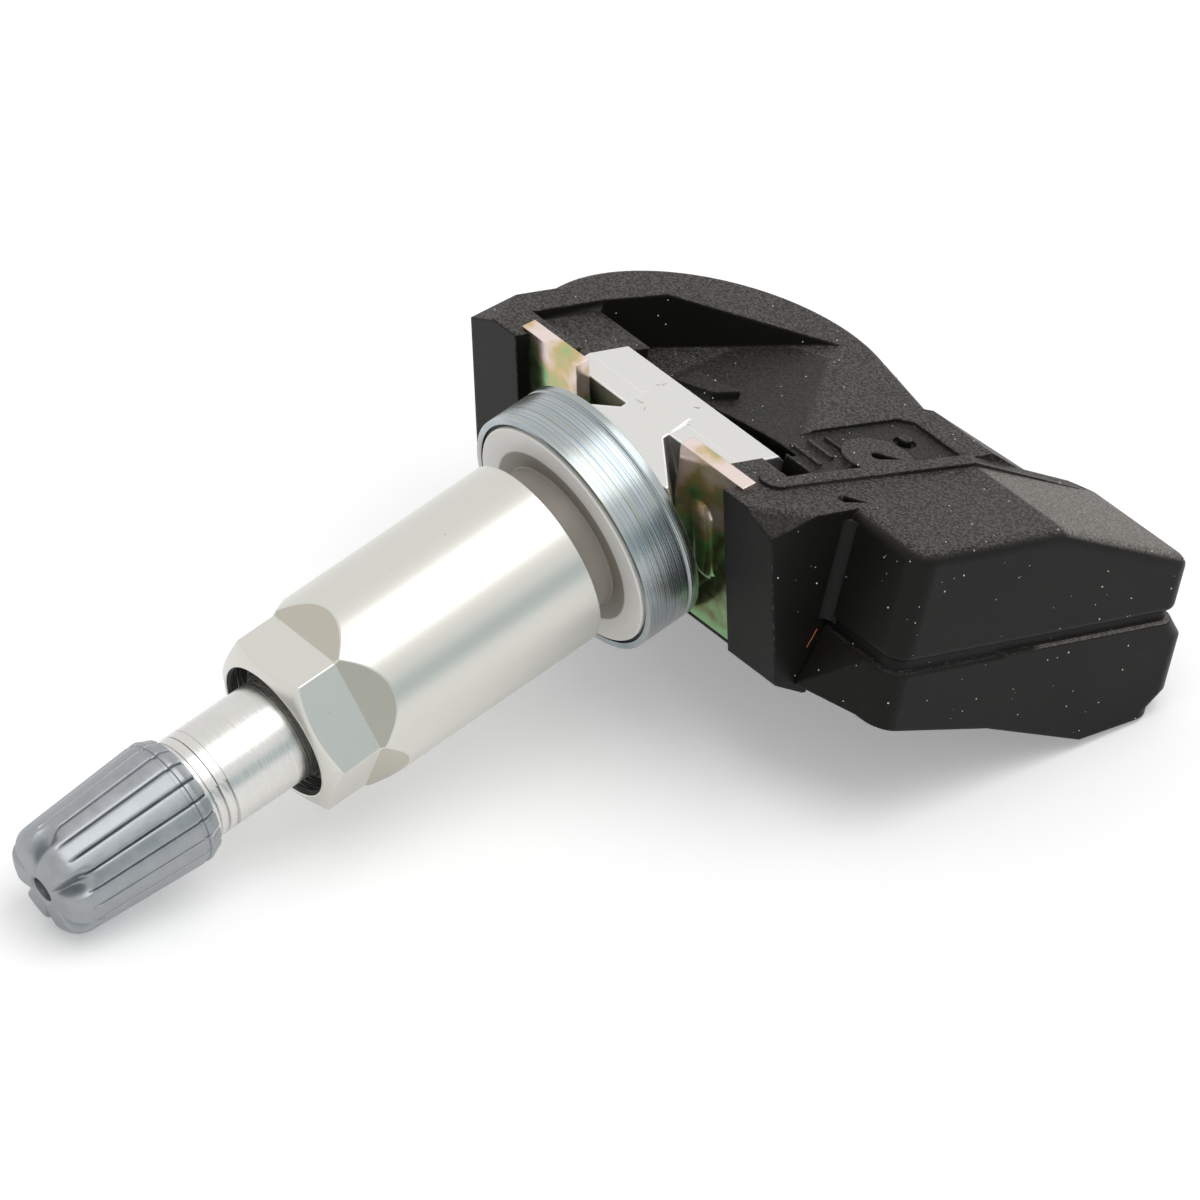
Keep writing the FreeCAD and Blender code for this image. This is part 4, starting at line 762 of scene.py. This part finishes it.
class NutSizes(bpy.types.PropertyGroup):
    length: length("Length", "Length of the sleeve nut", 23.40)
    radius: length("Radius", "Radius of the round sleeve", 7.15)
    flats: length("Flats", "Distance across the flats", 12.00)
    hex_length: length("Hexagon", "Length of the hexagon", 4.00)
    facet: length("Facets", "Length of the facets behind the hexagon", 2.50)
    chamfer: length("Chamfer", "Length of the chamfer at the mouth", 1.00)
    mouth: length("Mouth", "Radius of the mouth", 5.20)
    mouth_depth: length("Mouth depth", "Depth of the plain mouth", 2.60)
    bore: length("Bore", "Radius of the threaded bore", 5.00)
    washer: length("Washer seat", "Radius of the washer's seat", 6.35)
    washer_depth: length("Washer depth", "Depth of the washer's seat", 0.67)
    thread_pitch: length("Thread pitch", "Distance between two turns of the thread", 0.40)


class CapSizes(bpy.types.PropertyGroup):
    standoff: length("Standoff", "From the nut's mouth to the cap's rim", 8.08)
    length: length("Length", "Length of the cap", 12.20)
    rim: length("Rim", "Radius at the rim", 4.42)
    skirt: length("Skirt", "Radius behind the rim's chamfer", 4.75)
    tip: length("Tip", "Radius at the closed end", 4.20)
    bore: length("Bore", "Radius of the bore", 3.99)
    bore_depth: length("Bore depth", "Depth of the bore", 9.54)
    lands: count("Lands", "Flat lands round the skirt", 20)
    lobes: count("Lobes", "Lobes round the closed end", 6)
    groove: length("Groove", "Depth of the grooves", 0.24)
    flute: length("Flute", "Depth of the flutes between the lobes", 1.35)


class StageLook(bpy.types.PropertyGroup):
    azimuth: angle("Azimuth", "Where the camera stands round the part", 49.554)
    elevation: angle("Elevation", "How high the camera stands", 34.913)
    roll: angle("Roll", "How far the camera is turned on its axis", 3.337)
    distance: length("Distance", "From the camera to the rim seat along its view", 696.84)
    lens: number("Lens", "Focal length on a 36 mm frame", 299.93, unit="CAMERA")
    seat_across: number("Seat, across", "Where the rim seat shows, out of 1200", 561.15, subtype="PIXEL")
    seat_down: number("Seat, down", "Where the rim seat shows, out of 1200", 535.50, subtype="PIXEL")
    floor: colour("Floor", "Pale floor", "f3f3f3")
    glow: number("Floor glow", "Light that the floor gives to the camera and the metal", 0.30)
    card: colour("Card", "Grey card that the metal mirrors", "c3d2d6")
    softbox_width: length("Softbox width", "Width of the overhead light", 680)
    softbox_depth: length("Softbox depth", "Depth of the overhead light", 550)
    key: number("Key", "Power of the overhead light", 2.1, unit="POWER")
    fill: number("Fill", "Strength of the light from all round", 0.60)


# Steps

class SensorOperator:
    """What every step shares"""
    bl_options = {"REGISTER"}


class SENSOR_OT_casing(SensorOperator, bpy.types.Operator):
    """Dress the two halves of the moulded casing, with the web in the corner of its nose and its box"""
    bl_idname = "sensor.casing"
    bl_label = "Casing"

    def execute(self, context):
        nylon = moulded_nylon(context.scene.sensor_casing)
        for node, name in (("upper_housing", "upper_shell"), ("lower_cover", "lower_shell")):
            shell = smoothed(merged_copy(node, name), 24.0)
            dressed(shell, nylon, "glass_filled_nylon", "housing", node)
        corner_x, corner_y, web_radius, seam, deck = 16.71, 0.69, 1.0, -4.1, 3.7
        web = piece("corner_web", corner_fillet(corner_x, corner_y, web_radius, seam, deck), CASE)
        dressed(smoothed(web, 30.0), nylon, "glass_filled_nylon", "housing")
        return {"FINISHED"}


class SENSOR_OT_dust(SensorOperator, bpy.types.Operator):
    """Strew the dust that lies on the casing, and lay a stray fibre by the nose"""
    bl_idname = "sensor.dust"
    bl_label = "Dust"

    def execute(self, context):
        look = context.scene.sensor_casing
        tree = scatter_tree()
        towards_light = CASE.to_3x3() @ Vector((0.55, -0.35, 0.75)).normalized()
        pale = ("dust_specks", look.dust, 1.0, 4)
        tinted = ("tinted_flecks", look.tint, 0.3, 9)
        for name, shade, share, seed in (pale, tinted):
            grain = plain_finish(name, list(shade), 0.0, 0.7)
            bm = bmesh.new()
            for shell in ("upper_shell", "lower_shell"):
                bm.from_mesh(bpy.data.objects[shell].data)
            specks = piece(name, bm)
            grow(specks, tree, density=look.dust_density * share, size=look.dust_size, seed=seed,
                 up=towards_light, material=grain)
            dressed(specks, grain, "glass_filled_nylon", "housing")
        bends = [(16.80, 0.05, -4.9), (16.82, -0.10, -5.2), (16.80, -0.20, -5.6), (16.84, -0.42, -5.9),
                 (16.80, -0.50, -6.3)]
        fibre = strand("orange_fibre", bends, 0.035, CASE)
        dressed(fibre, plain_finish("orange_fibre", list(look.fibre), 0.0, 0.8), "glass_filled_nylon",
                "housing")
        return {"FINISHED"}


class SENSOR_OT_bracket(SensorOperator, bpy.types.Operator):
    """Dress the pressed bracket plate"""
    bl_idname = "sensor.bracket"
    bl_label = "Bracket plate"

    def execute(self, context):
        plate = smoothed(merged_copy("bracket_plate", "pressed_plate"), 30.0)
        film = chromated_zinc(context.scene.sensor_plate)
        dressed(plate, film, "chromated_steel", "housing", "bracket_plate")
        return {"FINISHED"}


class SENSOR_OT_stem(SensorOperator, bpy.types.Operator):
    """Dress the valve stem: a tumbled head and a turned barrel"""
    bl_idname = "sensor.stem"
    bl_label = "Valve stem"

    def execute(self, context):
        look = context.scene.sensor_stem
        stem = smoothed(merged_copy("valve_stem", "turned_stem"), 24.0)
        dressed(stem, turned_aluminium(look), "turned_aluminium", "stem", "valve_stem")
        stem.data.materials.append(tumbled_aluminium(look))
        shoulder = -context.scene.sensor_ring.back
        for face in stem.data.polygons:
            if OUT.dot(face.center) < shoulder:
                face.material_index = 1
        return {"FINISHED"}


class SENSOR_OT_ring(SensorOperator, bpy.types.Operator):
    """Turn the clamp ring, the collar and the rubber between them"""
    bl_idname = "sensor.ring"
    bl_label = "Ring and collar"

    def execute(self, context):
        sizes, look = context.scene.sensor_ring, context.scene.sensor_stem
        back, front, radius = -sizes.back / MM, -sizes.front / MM, sizes.radius / MM
        inner, bore = radius - sizes.wall / MM, sizes.bore / MM
        floor = back + sizes.floor / MM
        groove_start, groove_end = back + 0.66, back + 0.92
        groove_depth, groove_slope = 0.14, 0.10
        ring = piece("clamp_ring_turned", lathe([
            (bore, back), (radius, back), (radius, groove_start),
            (radius - groove_depth, groove_start + groove_slope),
            (radius - groove_depth, groove_end - groove_slope), (radius, groove_end), (radius, front),
            (inner, front), (inner, floor), (bore, floor)], look.segments), STEM)
        dressed(rounded(ring, 0.05), blue_zinc(look), "zinc_plated_steel", "stem", "clamp_ring")
        collar, thickness = sizes.collar / MM, sizes.collar_thickness / MM
        spigot, reach, hole = sizes.spigot / MM, sizes.spigot_length / MM, sizes.sleeve_bore / MM
        gap = 0.02
        flange = piece("flanged_collar", lathe([
            (hole, -thickness), (collar, -thickness), (collar, 0), (spigot, 0), (spigot, reach - gap),
            (hole, reach - gap)], look.segments), STEM)
        dressed(rounded(flange, 0.13), satin_nickel(look), "collar_metal", "stem", "seal_collar")
        sleeve, lip, sleeve_end = hole - gap, front - 0.16, reach - 0.3
        rubber = piece("moulded_grommet", lathe([
            (bore, floor + gap), (inner - gap, floor + gap), (inner - gap, lip), (collar + gap, lip),
            (collar + gap, -thickness - gap), (sleeve, -thickness - gap), (sleeve, sleeve_end),
            (bore, sleeve_end)], look.segments), STEM)
        dressed(rounded(rubber, 0.05), moulded_rubber(look), "seal_rubber", "stem", "rubber_grommet")
        return {"FINISHED"}


class SENSOR_OT_nut(SensorOperator, bpy.types.Operator):
    """Turn the sleeve nut, mill its hexagon and cut the thread in its mouth"""
    bl_idname = "sensor.nut"
    bl_label = "Sleeve nut"

    def execute(self, context):
        sizes, look = context.scene.sensor_nut, context.scene.sensor_stem
        start = context.scene.sensor_ring.spigot_length / MM
        end = start + sizes.length / MM
        radius, mouth, bore = sizes.radius / MM, sizes.mouth / MM, sizes.bore / MM
        mouth_floor = end - sizes.mouth_depth / MM
        seat, seat_end = sizes.washer / MM, start + sizes.washer_depth / MM
        mouth_rim = 0.18
        nut = piece("turned_nut", lathe([
            (seat, start), (radius, start), (radius, end - sizes.chamfer / MM), (mouth + mouth_rim, end),
            (mouth, end), (mouth, mouth_floor), (bore, mouth_floor), (bore, seat_end), (seat, seat_end)],
            look.segments), STEM)
        slope = self.mill(nut, sizes, start, end)
        film = satin_anodised(look, "satin_anodised_aluminium", look.champagne)
        dressed(rounded(nut, 0.10, 18.0), film, "anodised_nut", "nut", "sleeve_nut")
        # Painted shade: the facets behind the hexagon take a darker, browner film than the rest, as faces that
        # lean away from the light.
        nut.data.materials.append(satin_anodised(look, "milled_anodised_aluminium", look.champagne_facet))
        lean, close = math.sin(math.atan(slope)), 0.02
        for face in nut.data.polygons:
            if abs(OUT.dot(face.normal) - lean) < close:
                face.material_index = 1
        self.cut_thread(sizes, look, mouth_floor)
        return {"FINISHED"}

    def mill(self, nut, sizes, start, end):
        """Mills the hexagon with the facets that run out behind it, and returns the facets' slope."""
        radius, flats, facet = sizes.radius / MM, sizes.flats / MM, sizes.facet / MM
        hex_start = end - sizes.hex_length / MM
        slope = (radius - flats / 2) / facet
        wide, spare = flats + 4 * facet * slope, 1.0
        guard = piece("hex_guard", hex_column([
            (wide, start - spare), (wide, hex_start - 2 * facet), (flats, hex_start),
            (flats, end + spare)]), STEM)
        milled = nut.modifiers.new("mill", "BOOLEAN")
        milled.operation = "INTERSECT"
        milled.object = guard
        plain(nut)
        bpy.data.objects.remove(guard)
        return slope

    def cut_thread(self, sizes, look, mouth_floor):
        """Winds the thread in the mouth. It takes the rubber's matte black, as its grooves lie dark."""
        run_in, wire_share = 0.3 * MM, 0.42
        shade = moulded_rubber(look)
        thread = piece("nut_mouth_thread", bmesh.new())
        turns = (sizes.mouth_depth - run_in) / sizes.thread_pitch
        grow(thread, thread_tree(), radius=sizes.mouth, turns=turns, height=turns * sizes.thread_pitch,
             wire=sizes.thread_pitch * wire_share, steps=64, sides=4, material=shade)
        thread.data.transform(STEM @ Matrix.Translation((0, 0, mouth_floor * MM)))
        dressed(thread, shade, "anodised_nut", "nut")


class SENSOR_OT_cap(SensorOperator, bpy.types.Operator):
    """Shape the valve cap with its lands, grooves and lobes"""
    bl_idname = "sensor.cap"
    bl_label = "Valve cap"

    def execute(self, context):
        sizes, look = context.scene.sensor_cap, context.scene.sensor_stem
        rim_at = (context.scene.sensor_ring.spigot_length + context.scene.sensor_nut.length
                  + sizes.standoff) / MM
        full, rim, skirt, tip = (v / MM for v in (sizes.length, sizes.rim, sizes.skirt, sizes.tip))
        bore, depth = sizes.bore / MM, sizes.bore_depth / MM

        # From the rim over its chamfer, a plain band and a shallow groove to the start of the lands.
        band_start, band_end, lands_start = 0.78, 1.10, 1.50
        chamfer, ease = 0.10, 0.06
        rim_out, rim_up = 0.02, 0.12
        outline = [
            (bore, 0), (rim, 0), (rim + rim_out, rim_up), (skirt - ease, band_start - chamfer),
            (skirt, band_start), (skirt, band_end), (skirt - chamfer, band_end + ease),
            (skirt - chamfer, lands_start - ease)]

        # Along the tapered skirt, round the closed end, and down the dimple in its middle.
        round_out, round_up, steps, bends = 1.5, 1.6, 26, 10
        nose = full - round_up
        outline += [(skirt + (tip - skirt) * k / steps, lands_start + (nose - lands_start) * k / steps)
                    for k in range(steps + 1)]
        turns = [math.radians(90 * k / bends) for k in range(1, bends + 1)]
        outline += [(tip - round_out + round_out * math.cos(a), nose + round_up * math.sin(a))
                    for a in turns]
        dimple, dimple_lip, dimple_floor, dimple_depth = 1.15, 0.95, 0.85, 0.9
        outline += [
            (dimple, full), (dimple_lip, full - 0.15), (dimple_floor, full - dimple_depth),
            (0, full - dimple_depth), (0, depth), (bore, depth)]
        steps_to_a_land = 14
        cap = piece("ribbed_valve_cap", lathe(outline, sizes.lands * steps_to_a_land))

        # The lands give way to the lobes along the last stretch before the closed end.
        metal = cast_zinc(look)
        lands_end, lobes_full, clear = nose - 0.6, nose + 0.4, 0.05
        grow(cap, cap_tree(), lands=sizes.lands, groove_depth=sizes.groove, groove_share=0.10,
             lobes=sizes.lobes, flute_depth=sizes.flute, flute_start=(depth + 2 * clear) * MM,
             flute_end=lobes_full * MM, groove_start=lands_end * MM, bore=(bore + clear) * MM,
             bore_end=(depth + clear) * MM, dimple=(dimple + clear) * MM, material=metal)
        cap.data.transform(STEM @ Matrix.Translation((0, 0, rim_at * MM)))
        dressed(smoothed(cap, 32.0), metal, "cap_metal", "cap", "valve_cap")
        return {"FINISHED"}


class SENSOR_OT_insides(SensorOperator, bpy.types.Operator):
    """Give the pieces inside the casing and the stem their finishes"""
    bl_idname = "sensor.insides"
    bl_label = "Insides"

    def execute(self, context):
        rubber = moulded_rubber(context.scene.sensor_stem)
        # Each finish has its colour, how metallic it is, its roughness and the pieces that wear it.
        finishes = {
            # Glossy deep green lacquer
            "solder_resist": ("14532d", 0.0, 0.35, ["circuit_board"]),
            # Pale steel that mirrors softly
            "bright_steel_can": ("c8c8c4", 1.0, 0.25, ["battery_cell", "crystal"]),
            # Warm grey rolled strip
            "nickel_strip": ("bdb9ae", 1.0, 0.32, ["battery_tab_top", "battery_tab_bottom"]),
            # Black moulded package with a dull sheen
            "epoxy_resin": ("141416", 0.0, 0.5, ["pressure_sensor"]),
            # Soft grey tube
            "silicone_rubber": ("8a8d92", 0.0, 0.55, ["port_seal"]),
            # Chalky white film
            "ptfe_membrane": ("f0f0ee", 0.0, 0.8, ["vent_membrane"]),
            # Dense charcoal with a dull sheen
            "fired_ferrite": ("2c2c30", 0.0, 0.45, ["ferrite_core"]),
            # Lacquered wire, red-brown and shiny
            "enamelled_copper": ("a9552b", 1.0, 0.3, ["coil_winding"]),
            # Golden-brown spring strip
            "phosphor_bronze": ("b9935a", 1.0, 0.3, ["aerial"]),
            # Matte tan blocks
            "fired_ceramic": ("9b8563", 0.0, 0.5, ["chip_capacitors"]),
            # Bright yellow metal
            "turned_brass": ("c9a85c", 1.0, 0.25, ["core_body", "core_pin"]),
            # Grey wire
            "spring_steel": ("8f9192", 1.0, 0.3, ["core_spring"]),
            # Pale grey plating
            "zinc_plate": ("b7babb", 1.0, 0.35, ["nut_slip_washer"]),
        }
        for name, (code, metallic, rough, nodes) in finishes.items():
            material = plain_finish(name, linear(code), metallic, rough)
            for node in nodes:
                repaint(node, material)
        for node in ("core_gasket", "core_seat", "cap_gasket"):
            repaint(node, rubber)
        return {"FINISHED"}


class SENSOR_OT_stage(SensorOperator, bpy.types.Operator):
    """Lay the floor, hang the lights and set up the camera"""
    bl_idname = "sensor.stage"
    bl_label = "Stage"

    def execute(self, context):
        look = context.scene.sensor_stage
        self.lay_floor(look)
        self.hang_card(look)
        self.light(context.scene, look)
        self.aim_camera(context.scene, look)
        context.scene.view_settings.view_transform = "Standard"
        return {"FINISHED"}

    def background_ray(self, tree):
        """One for camera, glossy and transmission rays, nought for the rays that light the part."""
        rays = add(tree, "ShaderNodeLightPath").outputs
        seen = add(tree, "ShaderNodeMath", {
            0: rays["Is Camera Ray"], 1: rays["Is Glossy Ray"]}, operation="MAXIMUM")
        return add(tree, "ShaderNodeMath", {
            0: seen, 1: rays["Is Transmission Ray"]}, operation="MAXIMUM")

    def lay_floor(self, look):
        half_width = 1.6
        bm = bmesh.new()
        bmesh.ops.create_grid(bm, x_segments=1, y_segments=1, size=half_width)
        floor = piece("floor", bm, Matrix.Translation((0, 0, CAD_BOX[0].z)))
        material = blank_material("pale_floor")
        tree = material.node_tree
        lit = add(tree, "ShaderNodeBsdfDiffuse", {"Color": look.floor})
        glow = add(tree, "ShaderNodeEmission", {"Color": look.floor, "Strength": look.glow})
        both = add(tree, "ShaderNodeAddShader", {0: lit, 1: glow})
        shown = add(tree, "ShaderNodeMixShader", {0: self.background_ray(tree), 1: lit, 2: both})
        add(tree, "ShaderNodeOutputMaterial", {"Surface": shown})
        floor.data.materials.append(material)

    def hang_card(self, look):
        """A grey card at table height on the right, out of view, for the metal to mirror."""
        height, width, stand, behind = 0.30, 2.4, 0.75, 0.2
        bm = bmesh.new()
        half_unit = 0.5
        bmesh.ops.create_grid(bm, x_segments=1, y_segments=1, size=half_unit)
        turn = Matrix.Rotation(math.radians(90), 4, "Y")
        sides = Matrix.Diagonal((height, width, 1, 1))
        card = piece("grey_card", bm, Matrix.Translation((stand, behind, height / 2)) @ turn @ sides)
        material = blank_material("grey_card")
        tree = material.node_tree
        glow = add(tree, "ShaderNodeEmission", {"Color": look.card, "Strength": 1.0})
        add(tree, "ShaderNodeOutputMaterial", {"Surface": glow})
        card.data.materials.append(material)
        card.visible_camera = False
        card.visible_shadow = False
        card.visible_diffuse = False

    def light(self, scene, look):
        """White all round for the camera and the metal, a softer light for the part, and a softbox."""
        world = bpy.data.worlds.new("studio")
        world.use_nodes = True
        tree = world.node_tree
        tree.nodes.clear()
        white = add(tree, "ShaderNodeBackground", {"Color": (1, 1, 1, 1), "Strength": 1.0})
        soft = add(tree, "ShaderNodeBackground", {"Color": (1, 1, 1, 1), "Strength": look.fill})
        shown = add(tree, "ShaderNodeMixShader", {0: self.background_ray(tree), 1: soft, 2: white})
        add(tree, "ShaderNodeOutputWorld", {"Surface": shown})
        scene.world = world
        lamp = bpy.data.lights.new("overhead_softbox", "AREA")
        lamp.shape = "RECTANGLE"
        lamp.size, lamp.size_y = look.softbox_width, look.softbox_depth
        lamp.energy = look.key
        softbox = bpy.data.objects.new("overhead_softbox", lamp)
        softbox.location = (0.175, 0.084, 0.675)
        softbox.rotation_euler = (-softbox.location).to_track_quat("-Z", "Y").to_euler()
        scene.collection.objects.link(softbox)

    def aim_camera(self, scene, look):
        a, e = look.azimuth, look.elevation
        back = Vector((math.sin(a) * math.cos(e), -math.cos(a) * math.cos(e), math.sin(e)))
        level = Vector((math.cos(a), math.sin(a), 0))
        right = Matrix.Rotation(look.roll, 3, back) @ level
        up = back.cross(right)
        half_frame, sensor = 600, 36
        metres_per_pixel = look.distance * sensor / look.lens / (2 * half_frame)
        across = (look.seat_across - half_frame) * metres_per_pixel
        down = (look.seat_down - half_frame) * metres_per_pixel
        camera = bpy.data.objects.new("photo_camera", bpy.data.cameras.new("photo_camera"))
        camera.data.sensor_width = sensor
        camera.data.lens = look.lens
        camera.data.clip_end = 10
        place = back * look.distance - right * across + up * down
        camera.matrix_world = Matrix.Translation(place) @ Matrix((right, up, back)).transposed().to_4x4()
        scene.collection.objects.link(camera)
        scene.camera = camera


class SENSOR_PT_panel(bpy.types.Panel):
    """Lists the steps that dress the sensor"""
    bl_idname = "SENSOR_PT_panel"
    bl_label = "Tyre pressure sensor"
    bl_space_type = "VIEW_3D"
    bl_region_type = "UI"
    bl_category = "Sensor"

    def draw(self, context):
        for step in STEPS:
            self.layout.operator(step.bl_idname)


STEPS = [
    SENSOR_OT_casing, SENSOR_OT_dust, SENSOR_OT_bracket, SENSOR_OT_stem, SENSOR_OT_ring, SENSOR_OT_nut,
    SENSOR_OT_cap, SENSOR_OT_insides, SENSOR_OT_stage,
]
GROUPS = {
    "sensor_casing": CasingLook, "sensor_plate": PlateLook, "sensor_stem": StemLook,
    "sensor_ring": RingSizes, "sensor_nut": NutSizes, "sensor_cap": CapSizes, "sensor_stage": StageLook,
}


def register():
    for group in GROUPS.values():
        bpy.utils.register_class(group)
    for name, group in GROUPS.items():
        setattr(bpy.types.Scene, name, bpy.props.PointerProperty(type=group))
    for kind in STEPS + [SENSOR_PT_panel]:
        bpy.utils.register_class(kind)


def unregister():
    for kind in [SENSOR_PT_panel] + STEPS:
        bpy.utils.unregister_class(kind)
    for name, group in GROUPS.items():
        delattr(bpy.types.Scene, name)
        bpy.utils.unregister_class(group)


def main():
    register()
    bpy.ops.sensor.casing()
    bpy.ops.sensor.dust()
    bpy.ops.sensor.bracket()
    bpy.ops.sensor.stem()
    bpy.ops.sensor.ring()
    bpy.ops.sensor.nut()
    bpy.ops.sensor.cap()
    bpy.ops.sensor.insides()
    bpy.ops.sensor.stage()


if __name__ == "__main__":
    main()
